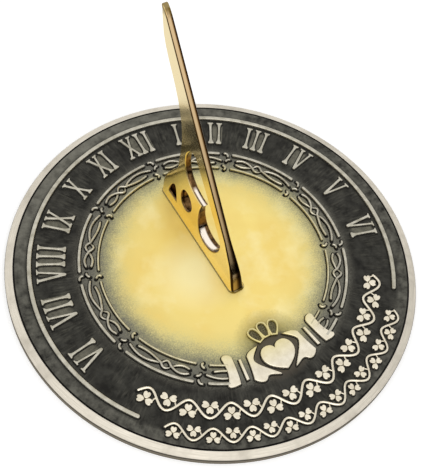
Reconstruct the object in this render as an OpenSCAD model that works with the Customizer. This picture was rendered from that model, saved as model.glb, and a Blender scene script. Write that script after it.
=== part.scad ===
// Garden sundial: a cast brass dial plate with a Celtic border and a claddagh,
// a separate pierced gnomon, and the two screws with washers that hold it.
// Frame: +Y is twelve o'clock, +X is the afternoon side, +Z is up, and the
// origin is the middle of the underside. Lengths are in millimetres.

/* [Dial plate] */
// Diameter over the rim
dial_d = 260; // [240:2:290]
// Height of the rim and of the flat field above the surface the dial stands on
rim_h = 7; // [6.8:0.1:9]
// Thickness of the cast field
web_t = 3; // [2.6:0.1:3.2]
// Width of the bright bevel round the rim
bevel_w = 5; // [3:0.5:7]
// Height lost over the bevel
bevel_drop = 2.6; // [1.5:0.1:4]
// Width of the foot ring under the rim
foot_ring_w = 7; // [5:0.5:10]
// Slope of the foot ring's inner wall, which lets the casting leave its mould
foot_draft = 1; // [0.5:0.1:2]
// Chamfer round the rim's lower edge
edge_chamfer = 0.5; // [0.2:0.1:1]
// Width of the dark groove inside the bevel
groove_w = 1; // [0.6:0.1:2]
// Depth of that groove
groove_depth = 0.6; // [0.3:0.1:1]

/* [Hour band] */
// Distance from the rim's edge to the middle of the raised band
band_inset = 15; // [13:0.5:18]
// Width of the raised band
band_w = 3.2; // [2:0.2:5]
// Height of the raised band above the field
band_h = 1.6; // [1:0.1:2.2]
// Angle from noon at which the band ends on either side
band_reach = 127; // [115:1:135]

/* [Hour numerals] */
// Distance from the band's middle line to the numerals' outer ends
numeral_gap = 4.2; // [3.5:0.1:5]
// Length of a numeral
numeral_len = 18; // [16:0.2:19]
// Height of the numerals above the field
numeral_h = 1.5; // [0.8:0.1:2.2]
// Distance south of the centre at which the hour lines meet
hour_origin = 21.5; // [16:0.5:26]
// Distance from the noon line at which the afternoon's hour lines start
noon_gap = 3; // [1:0.5:4]

/* [Vine] */
// Distance from the band's middle line inwards to the inner row's middle line
vine_inset = 14; // [12:0.5:15]
// Distance from the band's middle line outwards to the outer row's middle line
vine_outset = 1; // [0:0.1:1.6]
// Swing of the inner row's stem to either side
inner_swing = 4.8; // [3:0.1:5]
// Swing of the outer row's stem to either side
outer_swing = 4; // [2.5:0.1:4.2]
// Width of the inner row's stem
inner_stem_w = 1.8; // [1:0.1:2.4]
// Width of the outer row's stem
outer_stem_w = 1.6; // [1:0.1:2.2]
// Length of a leaf's lobe in the inner row
inner_lobe = 5; // [3:0.1:5.4]
// Length of a leaf's lobe in the outer row
outer_lobe = 4.2; // [3:0.1:4.6]
// Angle from the south at which the inner row ends on either side
inner_reach = 57; // [40:1:60]
// Angle from the south at which the outer row ends on either side
outer_reach = 45; // [35:1:48]
// Height of the vine above the field
vine_h = 1.5; // [0.8:0.1:2.2]

/* [Knot border] */
// Radius of the border's middle line
knot_r = 78.6; // [74:0.2:84]
// Distance between the border's outer and inner lines
knot_w = 11.8; // [10:0.2:14]
// Number of panels round the full circle, the claddagh's own place included
knot_panels = 10; // [10:1:12]
// Angle of one panel's lines, ends included
panel_reach = 29.2; // [24:0.2:30]
// Width of the outer line
outer_line_w = 1.8; // [1:0.1:2.6]
// Width of the inner line
inner_line_w = 1.2; // [0.8:0.1:2]
// Width of a strand
strand_w = 1.5; // [1:0.1:2]
// Swing of a strand to either side of the middle line
strand_swing = 2.5; // [2:0.1:3]
// Height of the border above the field
knot_h = 1.9; // [1:0.1:2.5]

/* [Claddagh] */
// Distance from the dial's centre to the notch between the heart's lobes
heart_notch_y = 69.6; // [66:0.2:72]
// Half width of the heart
heart_half_w = 11.2; // [9:0.2:12]
// Length of the heart from its notch to its tip
heart_len = 15.2; // [13:0.2:17]
// Height of the heart above the field
heart_h = 2.1; // [1.5:0.1:2.5]
// Height of the hands, cuffs and crown above the field
hands_h = 1.8; // [1.2:0.1:2.2]
// Width of the crown's outline
crown_line_w = 1.3; // [1:0.1:1.6]

/* [Gnomon] */
// Latitude the dial is made for, which is the angle of the style
latitude = 51.5; // [48:0.5:55]
// Distance south of the centre at which the style's line meets the field
style_foot = 30.6; // [28:0.2:33]
// Height of the gnomon's tip above the field
gnomon_h = 144; // [138:1:154]
// Height below the tip at which the style starts to round over
tip_round = 7; // [5:0.5:10]
// Distance south of the centre at which the toe stands
toe_y = 25.2; // [24.4:0.2:27]
// Blade thickness at the field
blade_t = 4.6; // [4.4:0.2:6]
// Blade thickness at the tip
blade_tip_t = 4; // [3:0.2:4.4]
// Width of the foot that the blade stands on
foot_w = 11; // [8:0.2:12]
// Height of that foot
foot_h = 1.6; // [1:0.1:2.4]
// Corner radius of the foot
foot_corner = 3.6; // [2:0.2:4]
// Radius of the hollow flare between the foot and the blade
flare_r = 2.8; // [0.6:0.1:3]
// Length of the foot's step past the blade at the toe and the heel
foot_step = 0.8; // [0.4:0.1:1.6]

/* [Fixings] */
// Thread diameter of the two screws that hold the gnomon
screw_d = 3; // [2.5:0.5:3]
// Clearance between a screw and the thread or hole round it, on the radius
thread_gap = 0.05; // [0.05:0.05:0.2]
// Extra radius of the clearance holes through the dial plate
hole_gap = 0.25; // [0.15:0.05:0.4]
// Distance from the centre to the front screw, towards the toe
front_screw_y = 13; // [11:0.5:15]
// Distance from the centre to the rear screw, towards the heel
rear_screw_y = 27.3; // [26:0.1:28]
// Depth of thread that a screw takes in the gnomon
thread_depth = 8; // [6:0.5:9]
// Free depth past a screw's point in its tapped hole
point_gap = 1; // [0.5:0.5:2]
// Diameter of the screw head
head_d = 5.5; // [5.2:0.1:6.6]
// Height of the screw head
head_h = 2; // [1.6:0.1:2.2]
// Chamfer round the screw head's outer edge
head_chamfer = 0.5; // [0.2:0.1:0.8]
// Chamfer at the screw's point
point_chamfer = 0.4; // [0.2:0.1:0.6]
// Width of the driving slot
slot_w = 0.8; // [0.6:0.1:1.2]
// Depth of the driving slot
slot_depth = 0.9; // [0.7:0.1:1]
// Outer diameter of the flat washer
flat_washer_d = 7; // [6.5:0.5:9]
// Thickness of the flat washer
flat_washer_t = 0.5; // [0.3:0.1:0.6]
// Outer diameter of the spring washer
spring_washer_d = 5.6; // [5.4:0.2:6.6]
// Thickness of the spring washer
spring_washer_t = 0.9; // [0.7:0.1:0.9]
// Width of the split in the spring washer
split_w = 0.5; // [0.3:0.1:1]

/* [Pedestal fixing] */
// Pitch circle of the three tapped bosses under the dial
boss_pcd = 150; // [130:2:180]
// Number of tapped bosses
boss_count = 3; // [3:1:4]
// Diameter of a boss
boss_d = 16; // [14:1:20]
// Diameter of the tapped hole in a boss
boss_hole_d = 6; // [5:0.5:8]
// Depth of the tapped hole
boss_hole_depth = 5.4; // [4:0.2:5.6]

/* [Hidden] */

dial_r = dial_d / 2;
under_z = rim_h - web_t;
band_r = dial_r - band_inset;
// The blade's west face stands on the noon line
gnomon_x = blade_t / 2;
// Depth to which the relief is rooted in the field
sink = 0.6;
// Share of a raised line's width that is flat on top
line_top = 0.6;
brass = [0.83, 0.68, 0.34];
antique = [0.36, 0.36, 0.34];
steel = [0.75, 0.75, 0.73];
$fn = 96;

// Points along a cubic curve, without the last one, so that curves chain
function curve(p, n = 10) = [for (i = [0 : n - 1])
    let (t = i / n, s = 1 - t)
    s^3 * p[0] + 3 * s^2 * t * p[1] + 3 * s * t^2 * p[2] + t^3 * p[3]];
// The chained points of several cubic curves that form one closed outline
function outline(curves, n = 10) = [for (c = curves) each curve(c, n)];
// A point at a radius and an angle clockwise from noon
function dial_point(r, a) = [r * sin(a), r * cos(a)];

// A raised line of even width along a list of points, with round ends
module ribbon(points, w, h) {
    last = len(points) - 1;
    ends = [points[0] * 2 - points[1], each points, points[last] * 2 - points[last - 1]];
    sides = [for (i = [1 : last + 1])
        let (d = ends[i + 1] - ends[i - 1]) [-d.y, d.x] / norm(d) * w / 2];
    left = [for (i = [0 : last]) points[i] + sides[i]];
    right = [for (i = [last : -1 : 0]) points[i] - sides[i]];
    translate([0, 0, rim_h - sink]) linear_extrude(h + sink) polygon([each left, each right]);
}

// The outer half of a raised line's section: straight sides, then a slope to a flat top
function line_section(w, h) = [[w / 2, -sink], [w / 2, h / 2], [w * line_top / 2, h]];

// A raised arc between two angles clockwise from noon
module raised_arc(r, w, h, from, to) {
    half = line_section(w, h);
    translate([0, 0, rim_h]) rotate([0, 0, 90 - to]) rotate_extrude(angle = to - from)
        translate([r, 0]) polygon([each half,
            each [for (i = [2 : -1 : 0]) [-half[i].x, half[i].y]]]);
}

/* The dial plate */

module plate_body() {
    bevel_r = dial_r - bevel_w;
    foot_r = dial_r - foot_ring_w;
    groove_slope = groove_w / 4;
    rotate_extrude() polygon([
        [0, under_z], [foot_r - foot_draft, under_z], [foot_r, 0],
        [dial_r - edge_chamfer, 0], [dial_r, edge_chamfer],
        [dial_r, rim_h - bevel_drop], [bevel_r, rim_h],
        [bevel_r - groove_slope, rim_h - groove_depth],
        [bevel_r - groove_w + groove_slope, rim_h - groove_depth],
        [bevel_r - groove_w, rim_h], [0, rim_h]]);
}

module hour_band() {
    raised_arc(band_r, band_w, band_h, -band_reach, band_reach);
    for (side = [-1, 1])
        translate([each dial_point(band_r, side * band_reach), rim_h])
            rotate([0, 0, (side < 0 ? 90 : -90) - side * band_reach])
                rotate_extrude(angle = 180)
                    polygon([[0, -sink], each line_section(band_w, band_h), [0, band_h]]);
}

/* The numerals, each stroke drawn upright with its foot at the origin */

// How much of the dial each letter takes up, keyed by what it is worth
letter_angles = [[1, 3.2], [5, 6], [10, 5.4]];
serif = 0.9;

function both_sides(half) = [each half, each [for (i = [len(half) - 1 : -1 : 0]) [-half[i].x, half[i].y]]];

function letter_outline(worth, l = numeral_len) =
    worth == 1 ? both_sides([[2, 0], [2, serif], [0.8, 3], [0.8, l - 2], [2.05, l - serif], [2.05, l]])
    : worth == 5 ? [[-5.1, l], [-5.1, l - serif], [-3.9, l - 1.5], [-0.8, -0.2], [0.8, -0.2],
        [3.6, l - 1.5], [5.1, l - serif], [5.1, l], [1.3, l], [1.3, l - serif],
        [2.2, l - 1.6], [0.2, 4.6], [-2, l - 1.6], [-1.3, l - serif], [-1.3, l]]
    : [[0.8, l / 2], [3.4, 2], [4.9, serif], [4.9, 0], [1.2, 0], [1.2, serif], [1.8, 2],
        [-0.1, l / 2 - 2], [-1.9, 2], [-1.3, serif], [-1.3, 0], [-4.8, 0], [-4.8, serif],
        [-3.3, 2], [-0.9, l / 2], [-3.1, l - 1.6], [-4.3, l - serif], [-4.3, l], [-1, l],
        [-1, l - serif], [-1.5, l - 1.6], [0.1, l / 2 + 2], [1.5, l - 1.6], [1, l - serif],
        [1, l], [4.3, l], [4.3, l - serif], [3, l - 1.6]];

// The letters of the hours from six in the morning to six in the evening
hour_letters = [[5, 1], [5, 1, 1], [5, 1, 1, 1], [1, 10], [10], [10, 1], [10, 1, 1],
    [1], [1, 1], [1, 1, 1], [1, 5], [5], [5, 1]];
numeral_foot_r = band_r - numeral_gap - numeral_len;

// An hour line starts from the style's own origin, so its angle about the dial's
// centre is that of the point where it meets the numerals' middle circle
function hour_angle(hours) = hours == 0 ? 0 : let (
    turn = 15 * abs(hours),
    line = atan2(sin(latitude) * sin(turn), cos(turn)),
    along = [sin(line), cos(line)],
    start = [noon_gap, -hour_origin],
    back = start * along,
    run = sqrt(back^2 - start * start + (numeral_foot_r + numeral_len / 2)^2) - back,
    meet = start + run * along) sign(hours) * atan2(meet.x, meet.y);

function angle_of(worth) = lookup(worth, letter_angles);
function total(v, n) = n == 0 ? 0 : v[n - 1] + total(v, n - 1);

module numerals() {
    for (i = [0 : len(hour_letters) - 1]) {
        letters = hour_letters[i];
        wide = [for (worth = letters) angle_of(worth)];
        for (k = [0 : len(letters) - 1])
            rotate([0, 0, total(wide, len(wide)) / 2 - hour_angle(i - 6) - total(wide, k) - wide[k] / 2])
                translate([0, numeral_foot_r, rim_h - sink]) linear_extrude(numeral_h + sink)
                    polygon(letter_outline(letters[k]));
    }
}

/* A running vine with three-lobed leaves, in two rows over the southern field */

vine_bends = 16;
bend_steps = 5;
// How far a leaf stands from the middle line, as a share of the stem's swing
leaf_shift = 0.55;
lobe_angles = [-105, 0, 105];

function vine_angle(share, reach) = 180 - reach + 2 * reach * share;

// One lobe of a leaf from the stalk outwards, for a length of 1
lobe_half = [[0.05, 0.1], [0.42, 0.42], [0.42, 0.78], [0.24, 0.98], [0, 0.85]];

module leaf(l) {
    for (turn = lobe_angles)
        rotate(-turn) polygon(l * both_sides(lobe_half));
}

module vine_row(r, swing, reach, stem_w, lobe) {
    steps = vine_bends * bend_steps;
    ribbon([for (i = [0 : steps]) dial_point(
        r + swing * sin(180 * vine_bends * i / steps), vine_angle(i / steps, reach))],
        stem_w, vine_h);
    for (i = [0 : vine_bends - 1])
        let (side = i % 2 == 0 ? 1 : -1, a = vine_angle((i + 0.5) / vine_bends, reach))
            translate([each dial_point(r - side * swing * leaf_shift, a), rim_h - sink])
                rotate([0, 0, (side > 0 ? 0 : 180) - a]) linear_extrude(vine_h + sink) leaf(lobe);
}

module vine() {
    vine_row(band_r - vine_inset, inner_swing, inner_reach, inner_stem_w, inner_lobe);
    vine_row(band_r + vine_outset, outer_swing, outer_reach, outer_stem_w, outer_lobe);
}

/* The knot border */

// A panel's two strands cross twice: a short loop, a small one, a long loop.
// Each entry holds a loop's first and last angle and the side it swings to.
strand_loops = [[-14.5, -4.4, 1], [-4.4, 0.4, -1], [0.4, 17, 1]];

function strand_offset(a) = strand_swing * [for (l = strand_loops)
    if (a >= l[0] && a < l[1]) l[2] * sin(180 * (a - l[0]) / (l[1] - l[0]))][0];

// A strand's points from one angle to another, on one side of the middle line
function strand(mid, side, from, to, n) = [for (i = [0 : n])
    let (a = from + (to - from) * i / n)
    dial_point(knot_r + side * strand_offset(a), mid + a)];

// Runs of strand between the places where one dives under the other
strand_runs = [[1, -12.8, -1.6, 12], [-1, -12.8, -6.4, 7], [-1, -2.7, 13, 14], [1, 2.4, 16.4, 12]];

module knot_panel(mid) {
    half = panel_reach / 2;
    raised_arc(knot_r + knot_w / 2, outer_line_w, knot_h, mid - half, mid + half);
    raised_arc(knot_r - knot_w / 2, inner_line_w, knot_h, mid - half, mid + half);
    for (run = strand_runs)
        ribbon(strand(mid, run[0], run[1], run[2], run[3]), strand_w, knot_h);
}

// The small crossed loops between two panels: radius from the middle line and angle
joint_loops = [
    [[6.6, -1.2], [6.4, 0.2], [5, 1], [3.6, 1.1]],
    [[-0.4, 0.3], [0.8, 0.6], [1.7, 1.4], [1.9, 2.6]],
    [[-3.4, -1.2], [-4.6, 0.1], [-6, 0.4], [-7.2, -0.4]]];

module knot_joint(mid) {
    for (loop = joint_loops)
        ribbon([for (p = loop) dial_point(knot_r + p[0], mid + p[1])], strand_w, knot_h);
}

module knot_border() {
    step = 360 / knot_panels;
    for (i = [0 : knot_panels - 1])
        let (mid = (i + 0.5) * step, toward = abs(mid - 180))
            if (toward > step) knot_panel(mid);
    for (i = [0 : knot_panels - 1])
        let (mid = i * step)
            if (abs(mid - 180) > step / 2) knot_joint(mid);
}

/* The claddagh, drawn with its heart's notch at the origin and its tip along -Y */

module relief(h) {
    translate([0, -heart_notch_y, rim_h - sink]) linear_extrude(h + sink) children();
}

module heart_shape() {
    w = heart_half_w;
    l = heart_len;
    half = [
        [[0, 0], [w * 0.05, l * 0.16], [w * 0.22, l * 0.23], [w * 0.48, l * 0.23]],
        [[w * 0.48, l * 0.23], [w * 0.82, l * 0.23], [w, 0], [w, -l * 0.22]],
        [[w, -l * 0.22], [w, -l * 0.55], [w * 0.55, -l * 0.8], [0, -l]]];
    for (side = [0, 1])
        mirror([side, 0]) polygon([each outline(half, 8), [0, -l]]);
}

// One hand, from the cuff round the fingers and the thumb
hand_curves = [
    [[8.8, 6.2], [12, 6.2], [17, 5.6], [18.4, 2.9]],
    [[18.4, 2.9], [19.2, -2], [20.4, -7.5], [22, -12.1]],
    [[22, -12.1], [20.5, -14.8], [17, -17.4], [14.4, -15.2]],
    [[14.4, -15.2], [12.5, -12], [9.5, -15], [5.4, -16.4]],
    [[5.4, -16.4], [3.6, -16.2], [12.4, -9], [15.4, -2.9]],
    [[15.4, -2.9], [16.8, 0], [13, 2.4], [8.8, 6.2]]];

// The narrow bar and the flared cuff at the wrist
wrist_bar = [[22.3, 3.4], [24, 3.4], [26.3, -10.4], [24.4, -10.4]];
cuff_curves = [
    [[26.6, 6.4], [27, 10.2], [32.6, 11.6], [32.8, 8]],
    [[32.8, 8], [32.8, 2], [33.6, -4], [37.8, -7.9]],
    [[37.8, -7.9], [38.4, -10.8], [34, -10.9], [30.4, -10.8]],
    [[30.4, -10.8], [29.4, -8], [28, -3], [26.6, 6.4]]];

// One petal of the crown: half widths at its foot and head, and its length
petal_foot = 2.2;
petal_head = 3.9;
petal_len = 11;
petal_lean = 21;
// The petals fan out round a point below their feet
crown_foot_y = 8.2;
crown_arc = 12;

function petal(inset) = let (f = petal_foot - inset, w = petal_head - inset, l = petal_len - inset)
    outline([
        [[-f, inset], [-w, l * 0.5], [-w * 1.2, l], [0, l]],
        [[0, l], [w * 1.2, l], [w, l * 0.5], [f, inset]]], 9);

module crown_shape() {
    for (lean = [-petal_lean, 0, petal_lean])
        translate([0, crown_foot_y - crown_arc]) rotate(lean) translate([0, crown_arc])
            difference() {
                polygon([each petal(0), [petal_foot, 0]]);
                polygon([each petal(crown_line_w), [petal_foot - crown_line_w, crown_line_w]]);
            }
}

module claddagh() {
    relief(heart_h) heart_shape();
    for (side = [0, 1]) mirror([side, 0, 0]) {
        relief(hands_h) polygon(outline(hand_curves, 7));
        relief(hands_h) polygon(wrist_bar);
        relief(hands_h) polygon(outline(cuff_curves, 7));
    }
    relief(hands_h) crown_shape();
}

module pedestal_bosses() {
    for (i = [0 : boss_count - 1])
        rotate([0, 0, 90 + i * 360 / boss_count]) translate([boss_pcd / 2, 0, 0])
            cylinder(d = boss_d, h = under_z + sink);
}

module pedestal_holes() {
    for (i = [0 : boss_count - 1])
        rotate([0, 0, 90 + i * 360 / boss_count]) translate([boss_pcd / 2, 0, 0])
            cylinder(d = boss_hole_d, h = boss_hole_depth);
}

module dial_plate() {
    color(antique) difference() {
        union() {
            plate_body();
            pedestal_bosses();
            hour_band();
            numerals();
            vine();
            knot_border();
            claddagh();
        }
        pedestal_holes();
        for (y = [-front_screw_y, rear_screw_y])
            translate([gnomon_x, y, under_z]) cylinder(r = screw_d / 2 + hole_gap, h = web_t);
    }
}

/* The gnomon. Its outline is given as distances behind the style's line, and heights */

function behind(p) = [p[0] - style_foot + p[1] / tan(latitude), p[1]];
function behind_all(curves) = [for (c = curves) [for (p = c) behind(p)]];

toe_rise = 17;
heel_y = 63.6;

// The toe's curve up to the straight style
toe_curve = [[-toe_y, 0], [-toe_y + 1, 3], behind([0, toe_rise * 0.55]), behind([0, toe_rise])];
// The style rounds over to the tip, and the tip to the back
tip = [2.6, gnomon_h];
tip_back = [4.2, gnomon_h - 2.8];
tip_curves = behind_all([
    [[0, gnomon_h - tip_round], [0, gnomon_h - tip_round / 2], tip - [1.8, 0.8], tip],
    [tip, tip + [0.9, 0], tip_back + [0, 1.4], tip_back]]);
// From there down the back: the upper sweep and the long hollow, down to the swell
swell = [35.4, 59];
back_curves = behind_all([
    [tip_back, [13.8, 128], [16.5, 117], [16.3, 107]],
    [[16.3, 107], [17.3, 94], [19.3, 80], swell]]);
waist = behind([54, 36]);
heel_curve = [waist, [58.5, 27], [heel_y + 0.7, 17], [heel_y + 1.2, 8]];
heel_round = [[heel_y + 1.2, 8], [heel_y + 1.2, 4], [heel_y + 0.6, 2], [heel_y, 0]];

gnomon_outline = [each curve(toe_curve), behind([0, toe_rise]), each outline(tip_curves, 6),
    each outline(back_curves, 12), behind(swell), each curve(heel_curve),
    each curve(heel_round, 5), [heel_y, 0]];

// The long opening: a narrow upper lobe and a round lower one, with a beak between
window_curves = behind_all([
    [[25.4, 33], [35, 32.2], [45.8, 35.5], [34, 52]],
    [[34, 52], [29, 59], [19.6, 66], [15.4, 65]],
    [[15.4, 65], [13.9, 65], [13.8, 63.2], [13.7, 61.5]],
    [[13.7, 61.5], [12.2, 49.4], [10.6, 37.2], [9.7, 25]],
    [[9.7, 25], [9.8, 20.5], [22.2, 7.5], [35.1, 6.9]],
    [[35.1, 6.9], [43.3, 6.6], [42.4, 13.5], [34.4, 24]],
    [[34.4, 24], [31.5, 28], [28.4, 31], [25.4, 33]]]);

// The oval and the drop that follow it toward the heel
oval_at = behind([53.5, 18.4]);
oval_half = [7.2, 5.9];
oval_turn = 65;
drop_curves = behind_all([
    [[72.2, 7.2], [75, 7.2], [78, 7.2], [81.2, 7.2]],
    [[81.2, 7.2], [77.4, 12], [71.9, 16.6], [68.6, 17.6]],
    [[68.6, 17.6], [67.8, 17.6], [69.3, 13], [72.2, 7.2]]]);

function oval_points(n) = [for (i = [0 : n - 1])
    let (a = 360 * i / n, c = cos(oval_turn), s = sin(oval_turn),
        p = [oval_half[0] * cos(a), oval_half[1] * sin(a)])
    oval_at + [p.x * c - p.y * s, p.x * s + p.y * c]];

module along_blade(w) {
    translate([-w / 2, 0, rim_h]) rotate([90, 0, 90]) linear_extrude(w) children();
}

module blade_taper() {
    reach = dial_r + gnomon_h;
    translate([0, reach / 2, rim_h]) rotate([90, 0, 0]) linear_extrude(reach)
        polygon([[-blade_t / 2, 0], [blade_t / 2, 0],
            [blade_tip_t / 2, gnomon_h], [-blade_tip_t / 2, gnomon_h]]);
}

// Centres of the foot's rounded corners
corner_x = foot_w / 2 - foot_corner;
front_y = foot_corner - toe_y - foot_step;
back_y = heel_y + foot_step - foot_corner;

module foot_plan() {
    x = corner_x;
    translate([-foot_w / 2, front_y]) square([foot_w, back_y - front_y]);
    translate([-x, front_y - foot_corner]) square([2 * x, back_y - front_y + 2 * foot_corner]);
    for (side = [-1, 1]) for (y = [front_y, back_y])
        translate([side * x, y]) circle(r = foot_corner);
}

// The flare's section, from its outer edge in and up to the blade
function flare_section(outer) = [[outer, -foot_h / 2], each [for (a = [0 : 15 : 90])
    [max(0, outer - flare_r * sin(a)), flare_r * (1 - cos(a))]]];

module foot_flare() {
    half = blade_t / 2 + flare_r;
    round_r = half - corner_x;
    length = back_y - front_y;
    translate([0, back_y]) rotate([90, 0, 0]) linear_extrude(length)
        polygon(both_sides(flare_section(half)));
    translate([-corner_x, (front_y + back_y) / 2]) rotate([90, 0, 90]) linear_extrude(2 * corner_x)
        polygon(both_sides(flare_section(length / 2 + round_r)));
    for (spot = [[corner_x, back_y, 0], [-corner_x, back_y, 90], [-corner_x, front_y, 180], [corner_x, front_y, 270]])
        translate([spot.x, spot.y]) rotate([0, 0, spot.z]) rotate_extrude(angle = 90)
            polygon([[0, -foot_h / 2], each flare_section(round_r), [0, flare_r]]);
}

module gnomon() {
    color(brass) translate([gnomon_x, 0, 0]) difference() {
        union() {
            intersection() {
                along_blade(2 * blade_t) polygon(gnomon_outline);
                blade_taper();
            }
            translate([0, 0, rim_h]) linear_extrude(foot_h) foot_plan();
            translate([0, 0, rim_h + foot_h]) foot_flare();
        }
        along_blade(2 * foot_w) polygon(outline(window_curves, 8));
        along_blade(2 * foot_w) polygon(oval_points(28));
        along_blade(2 * foot_w) polygon(outline(drop_curves, 6));
        for (y = [-front_screw_y, rear_screw_y])
            translate([0, y, rim_h])
                cylinder(r = screw_d / 2 + thread_gap, h = thread_depth + point_gap);
    }
}

/* The fixings, from the web's underside down: flat washer, spring washer, screw head */

flat_z = under_z - flat_washer_t;
spring_z = flat_z - spring_washer_t;
bore_r = screw_d / 2 + hole_gap;

module screw_at(y) {
    head_r = head_d / 2;
    screw_r = screw_d / 2;
    shank = web_t + flat_washer_t + spring_washer_t + thread_depth;
    color(steel) translate([gnomon_x, y, spring_z]) difference() {
        rotate_extrude() polygon([
            [0, -head_h], [head_r - head_chamfer, -head_h], [head_r, head_chamfer - head_h],
            [head_r, 0], [screw_r, 0], [screw_r, shank - point_chamfer],
            [screw_r - point_chamfer, shank], [0, shank]]);
        translate([-head_r, -slot_w / 2, -head_h]) cube([head_d, slot_w, slot_depth]);
    }
}

module spring_washer_at(y) {
    color(steel) translate([gnomon_x, y, spring_z]) difference() {
        cylinder(d = spring_washer_d, h = spring_washer_t);
        cylinder(r = bore_r, h = spring_washer_t);
        translate([0, -split_w / 2, 0]) cube([spring_washer_d, split_w, spring_washer_t]);
    }
}

module flat_washer_at(y) {
    color(steel) translate([gnomon_x, y, flat_z]) difference() {
        cylinder(d = flat_washer_d, h = flat_washer_t);
        cylinder(r = bore_r, h = flat_washer_t);
    }
}

dial_plate();
gnomon();
screw_at(-front_screw_y);  // screw_front
screw_at(rear_screw_y);  // screw_rear
spring_washer_at(-front_screw_y);  // spring_washer_front
spring_washer_at(rear_screw_y);  // spring_washer_rear
flat_washer_at(-front_screw_y);  // flat_washer_front
flat_washer_at(rear_screw_y);  // flat_washer_rear
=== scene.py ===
"""Visual model of a cast brass garden sundial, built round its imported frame.

The frame sets every place: +Y is twelve o'clock, +X the afternoon side, +Z is up, and
the origin is the middle of the underside. Lengths are in millimetres unless a name
says otherwise, and angles are in degrees clockwise from noon, as the hours run.
"""

import logging
import math
from collections.abc import Callable, Iterator, Sequence
from contextlib import contextmanager
from dataclasses import dataclass, field
from enum import Enum
from functools import partial
from typing import Any

import bpy
from mathutils import Matrix, Vector


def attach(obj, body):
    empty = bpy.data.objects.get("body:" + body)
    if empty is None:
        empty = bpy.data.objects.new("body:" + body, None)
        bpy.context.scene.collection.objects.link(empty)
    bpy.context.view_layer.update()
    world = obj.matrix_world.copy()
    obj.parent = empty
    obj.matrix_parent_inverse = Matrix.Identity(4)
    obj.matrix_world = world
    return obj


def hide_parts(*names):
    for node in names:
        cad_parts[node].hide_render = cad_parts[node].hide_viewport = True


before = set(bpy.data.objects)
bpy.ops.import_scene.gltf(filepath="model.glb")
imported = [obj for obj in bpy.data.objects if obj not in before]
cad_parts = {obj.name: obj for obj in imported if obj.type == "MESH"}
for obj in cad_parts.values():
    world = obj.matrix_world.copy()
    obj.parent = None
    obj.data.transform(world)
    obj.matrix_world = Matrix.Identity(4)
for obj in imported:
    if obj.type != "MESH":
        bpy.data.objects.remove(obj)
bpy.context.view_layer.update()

log = logging.getLogger("sundial")

MM = 0.001
BODY = "root"

Point = tuple[float, float]
Place = tuple[float, float, float]
# From where to where, along a measure or an angle
Span = tuple[float, float]
Piece = bpy.types.Object
# A colour ramp's stop, and what may feed a node
Stop = tuple[float, str]
Source = bpy.types.Node | bpy.types.NodeSocket
# What adds a node to a certain tree
Adder = Callable[..., bpy.types.Node]

# The flat field of the dial, from which all relief rises, and how deep relief is rooted
FIELD_Z = 7.0
ROOT = 0.6

# How much of the room beside it a corner may use up when its outline shrinks or grows
ROOM_SHARE = 0.7
# Points closer than this, in metres, are one
SAME = MM / 1000


class Slot(str, Enum):
    """The record's material slot names, which the pieces made here don't take their finish from."""

    PLATE = "antique_brass"
    GNOMON = "polished_brass"


# Outlines and paths


def dial_point(radius: float, angle: float) -> Point:
    """Gives the point at a radius and an angle clockwise from noon."""
    turn = math.radians(angle)
    return radius * math.sin(turn), radius * math.cos(turn)


def arc(radius: float, start: float, end: float, steps: int) -> list[Point]:
    """Gives the points of an arc about the dial's centre, both ends included."""
    return [dial_point(radius, start + (end - start) * i / steps) for i in range(steps + 1)]


def bezier(corners: Sequence[Point], steps: int) -> list[Point]:
    """Gives points along a cubic curve, without its last one, so that curves chain.

    Args:
        corners: The curve's two ends, with its two handles between them.
        steps: The number of points.

    Returns:
        The points in order.
    """
    points = []
    for i in range(steps):
        t = i / steps
        s = 1 - t
        weights = (s**3, 3 * s * s * t, 3 * s * t * t, t**3)
        points.append(tuple(sum(w * c[k] for w, c in zip(weights, corners)) for k in (0, 1)))
    return points


def chained(curves: Sequence[Sequence[Point]], steps: int) -> list[Point]:
    """Gives the points of several cubic curves that follow each other."""
    return [point for corners in curves for point in bezier(corners, steps)]


def smoothed(points: Sequence[Point], steps: int) -> list[Point]:
    """Runs a smooth line through a few points.

    Args:
        points: The points to pass through.
        steps: The number of new points in each stretch.

    Returns:
        The line's points, both ends included.
    """
    line = [Vector(point) for point in points]
    line = [line[0] * 2 - line[1], *line, line[-1] * 2 - line[-2]]
    out: list[Point] = []
    for a, b, c, d in zip(line, line[1:], line[2:], line[3:]):
        handles = (b, b + (c - a) / 6, c - (d - b) / 6, c)
        out += bezier([tuple(handle) for handle in handles], steps)
    return [*out, tuple(points[-1])]


def ribbon_outline(path: Sequence[Point], width: float, end_steps: int = 6) -> list[Point]:
    """Draws the outline of an even line along a path, with round ends.

    Args:
        path: The middle line's points.
        width: The line's width.
        end_steps: The number of steps round each end.

    Returns:
        The outline's points.
    """
    line = [Vector(point) for point in path]
    along = [(b - a).normalized() for a, b in zip(line, line[1:])]
    at_point = [along[0], *[(a + b).normalized() for a, b in zip(along, along[1:])], along[-1]]
    side = [Vector((-d.y, d.x)) * width / 2 for d in at_point]
    left = [point + s for point, s in zip(line, side)]
    right = [point - s for point, s in zip(line, side)]

    def cap(centre: Vector, first: Vector) -> list[Vector]:
        """Turns half round an end, from one side of the line to the other."""
        turns = [-math.pi * i / end_steps for i in range(1, end_steps)]
        return [centre + Matrix.Rotation(turn, 2) @ first for turn in turns]

    outline = [*left, *cap(line[-1], side[-1]), *reversed(right), *cap(line[0], -side[0])]
    return [tuple(point) for point in outline]


def counterclockwise(outline: Sequence[Point]) -> list[Point]:
    """Gives an outline turned so that a face drawn through it looks towards the viewer.

    Args:
        outline: The outline.

    Returns:
        Its points, the other way round where it ran clockwise.
    """
    pairs = zip(outline, [*outline[1:], outline[0]])
    doubled_area = sum(a[0] * b[1] - b[0] * a[1] for a, b in pairs)
    return list(outline) if doubled_area > 0 else list(reversed(outline))


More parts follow.
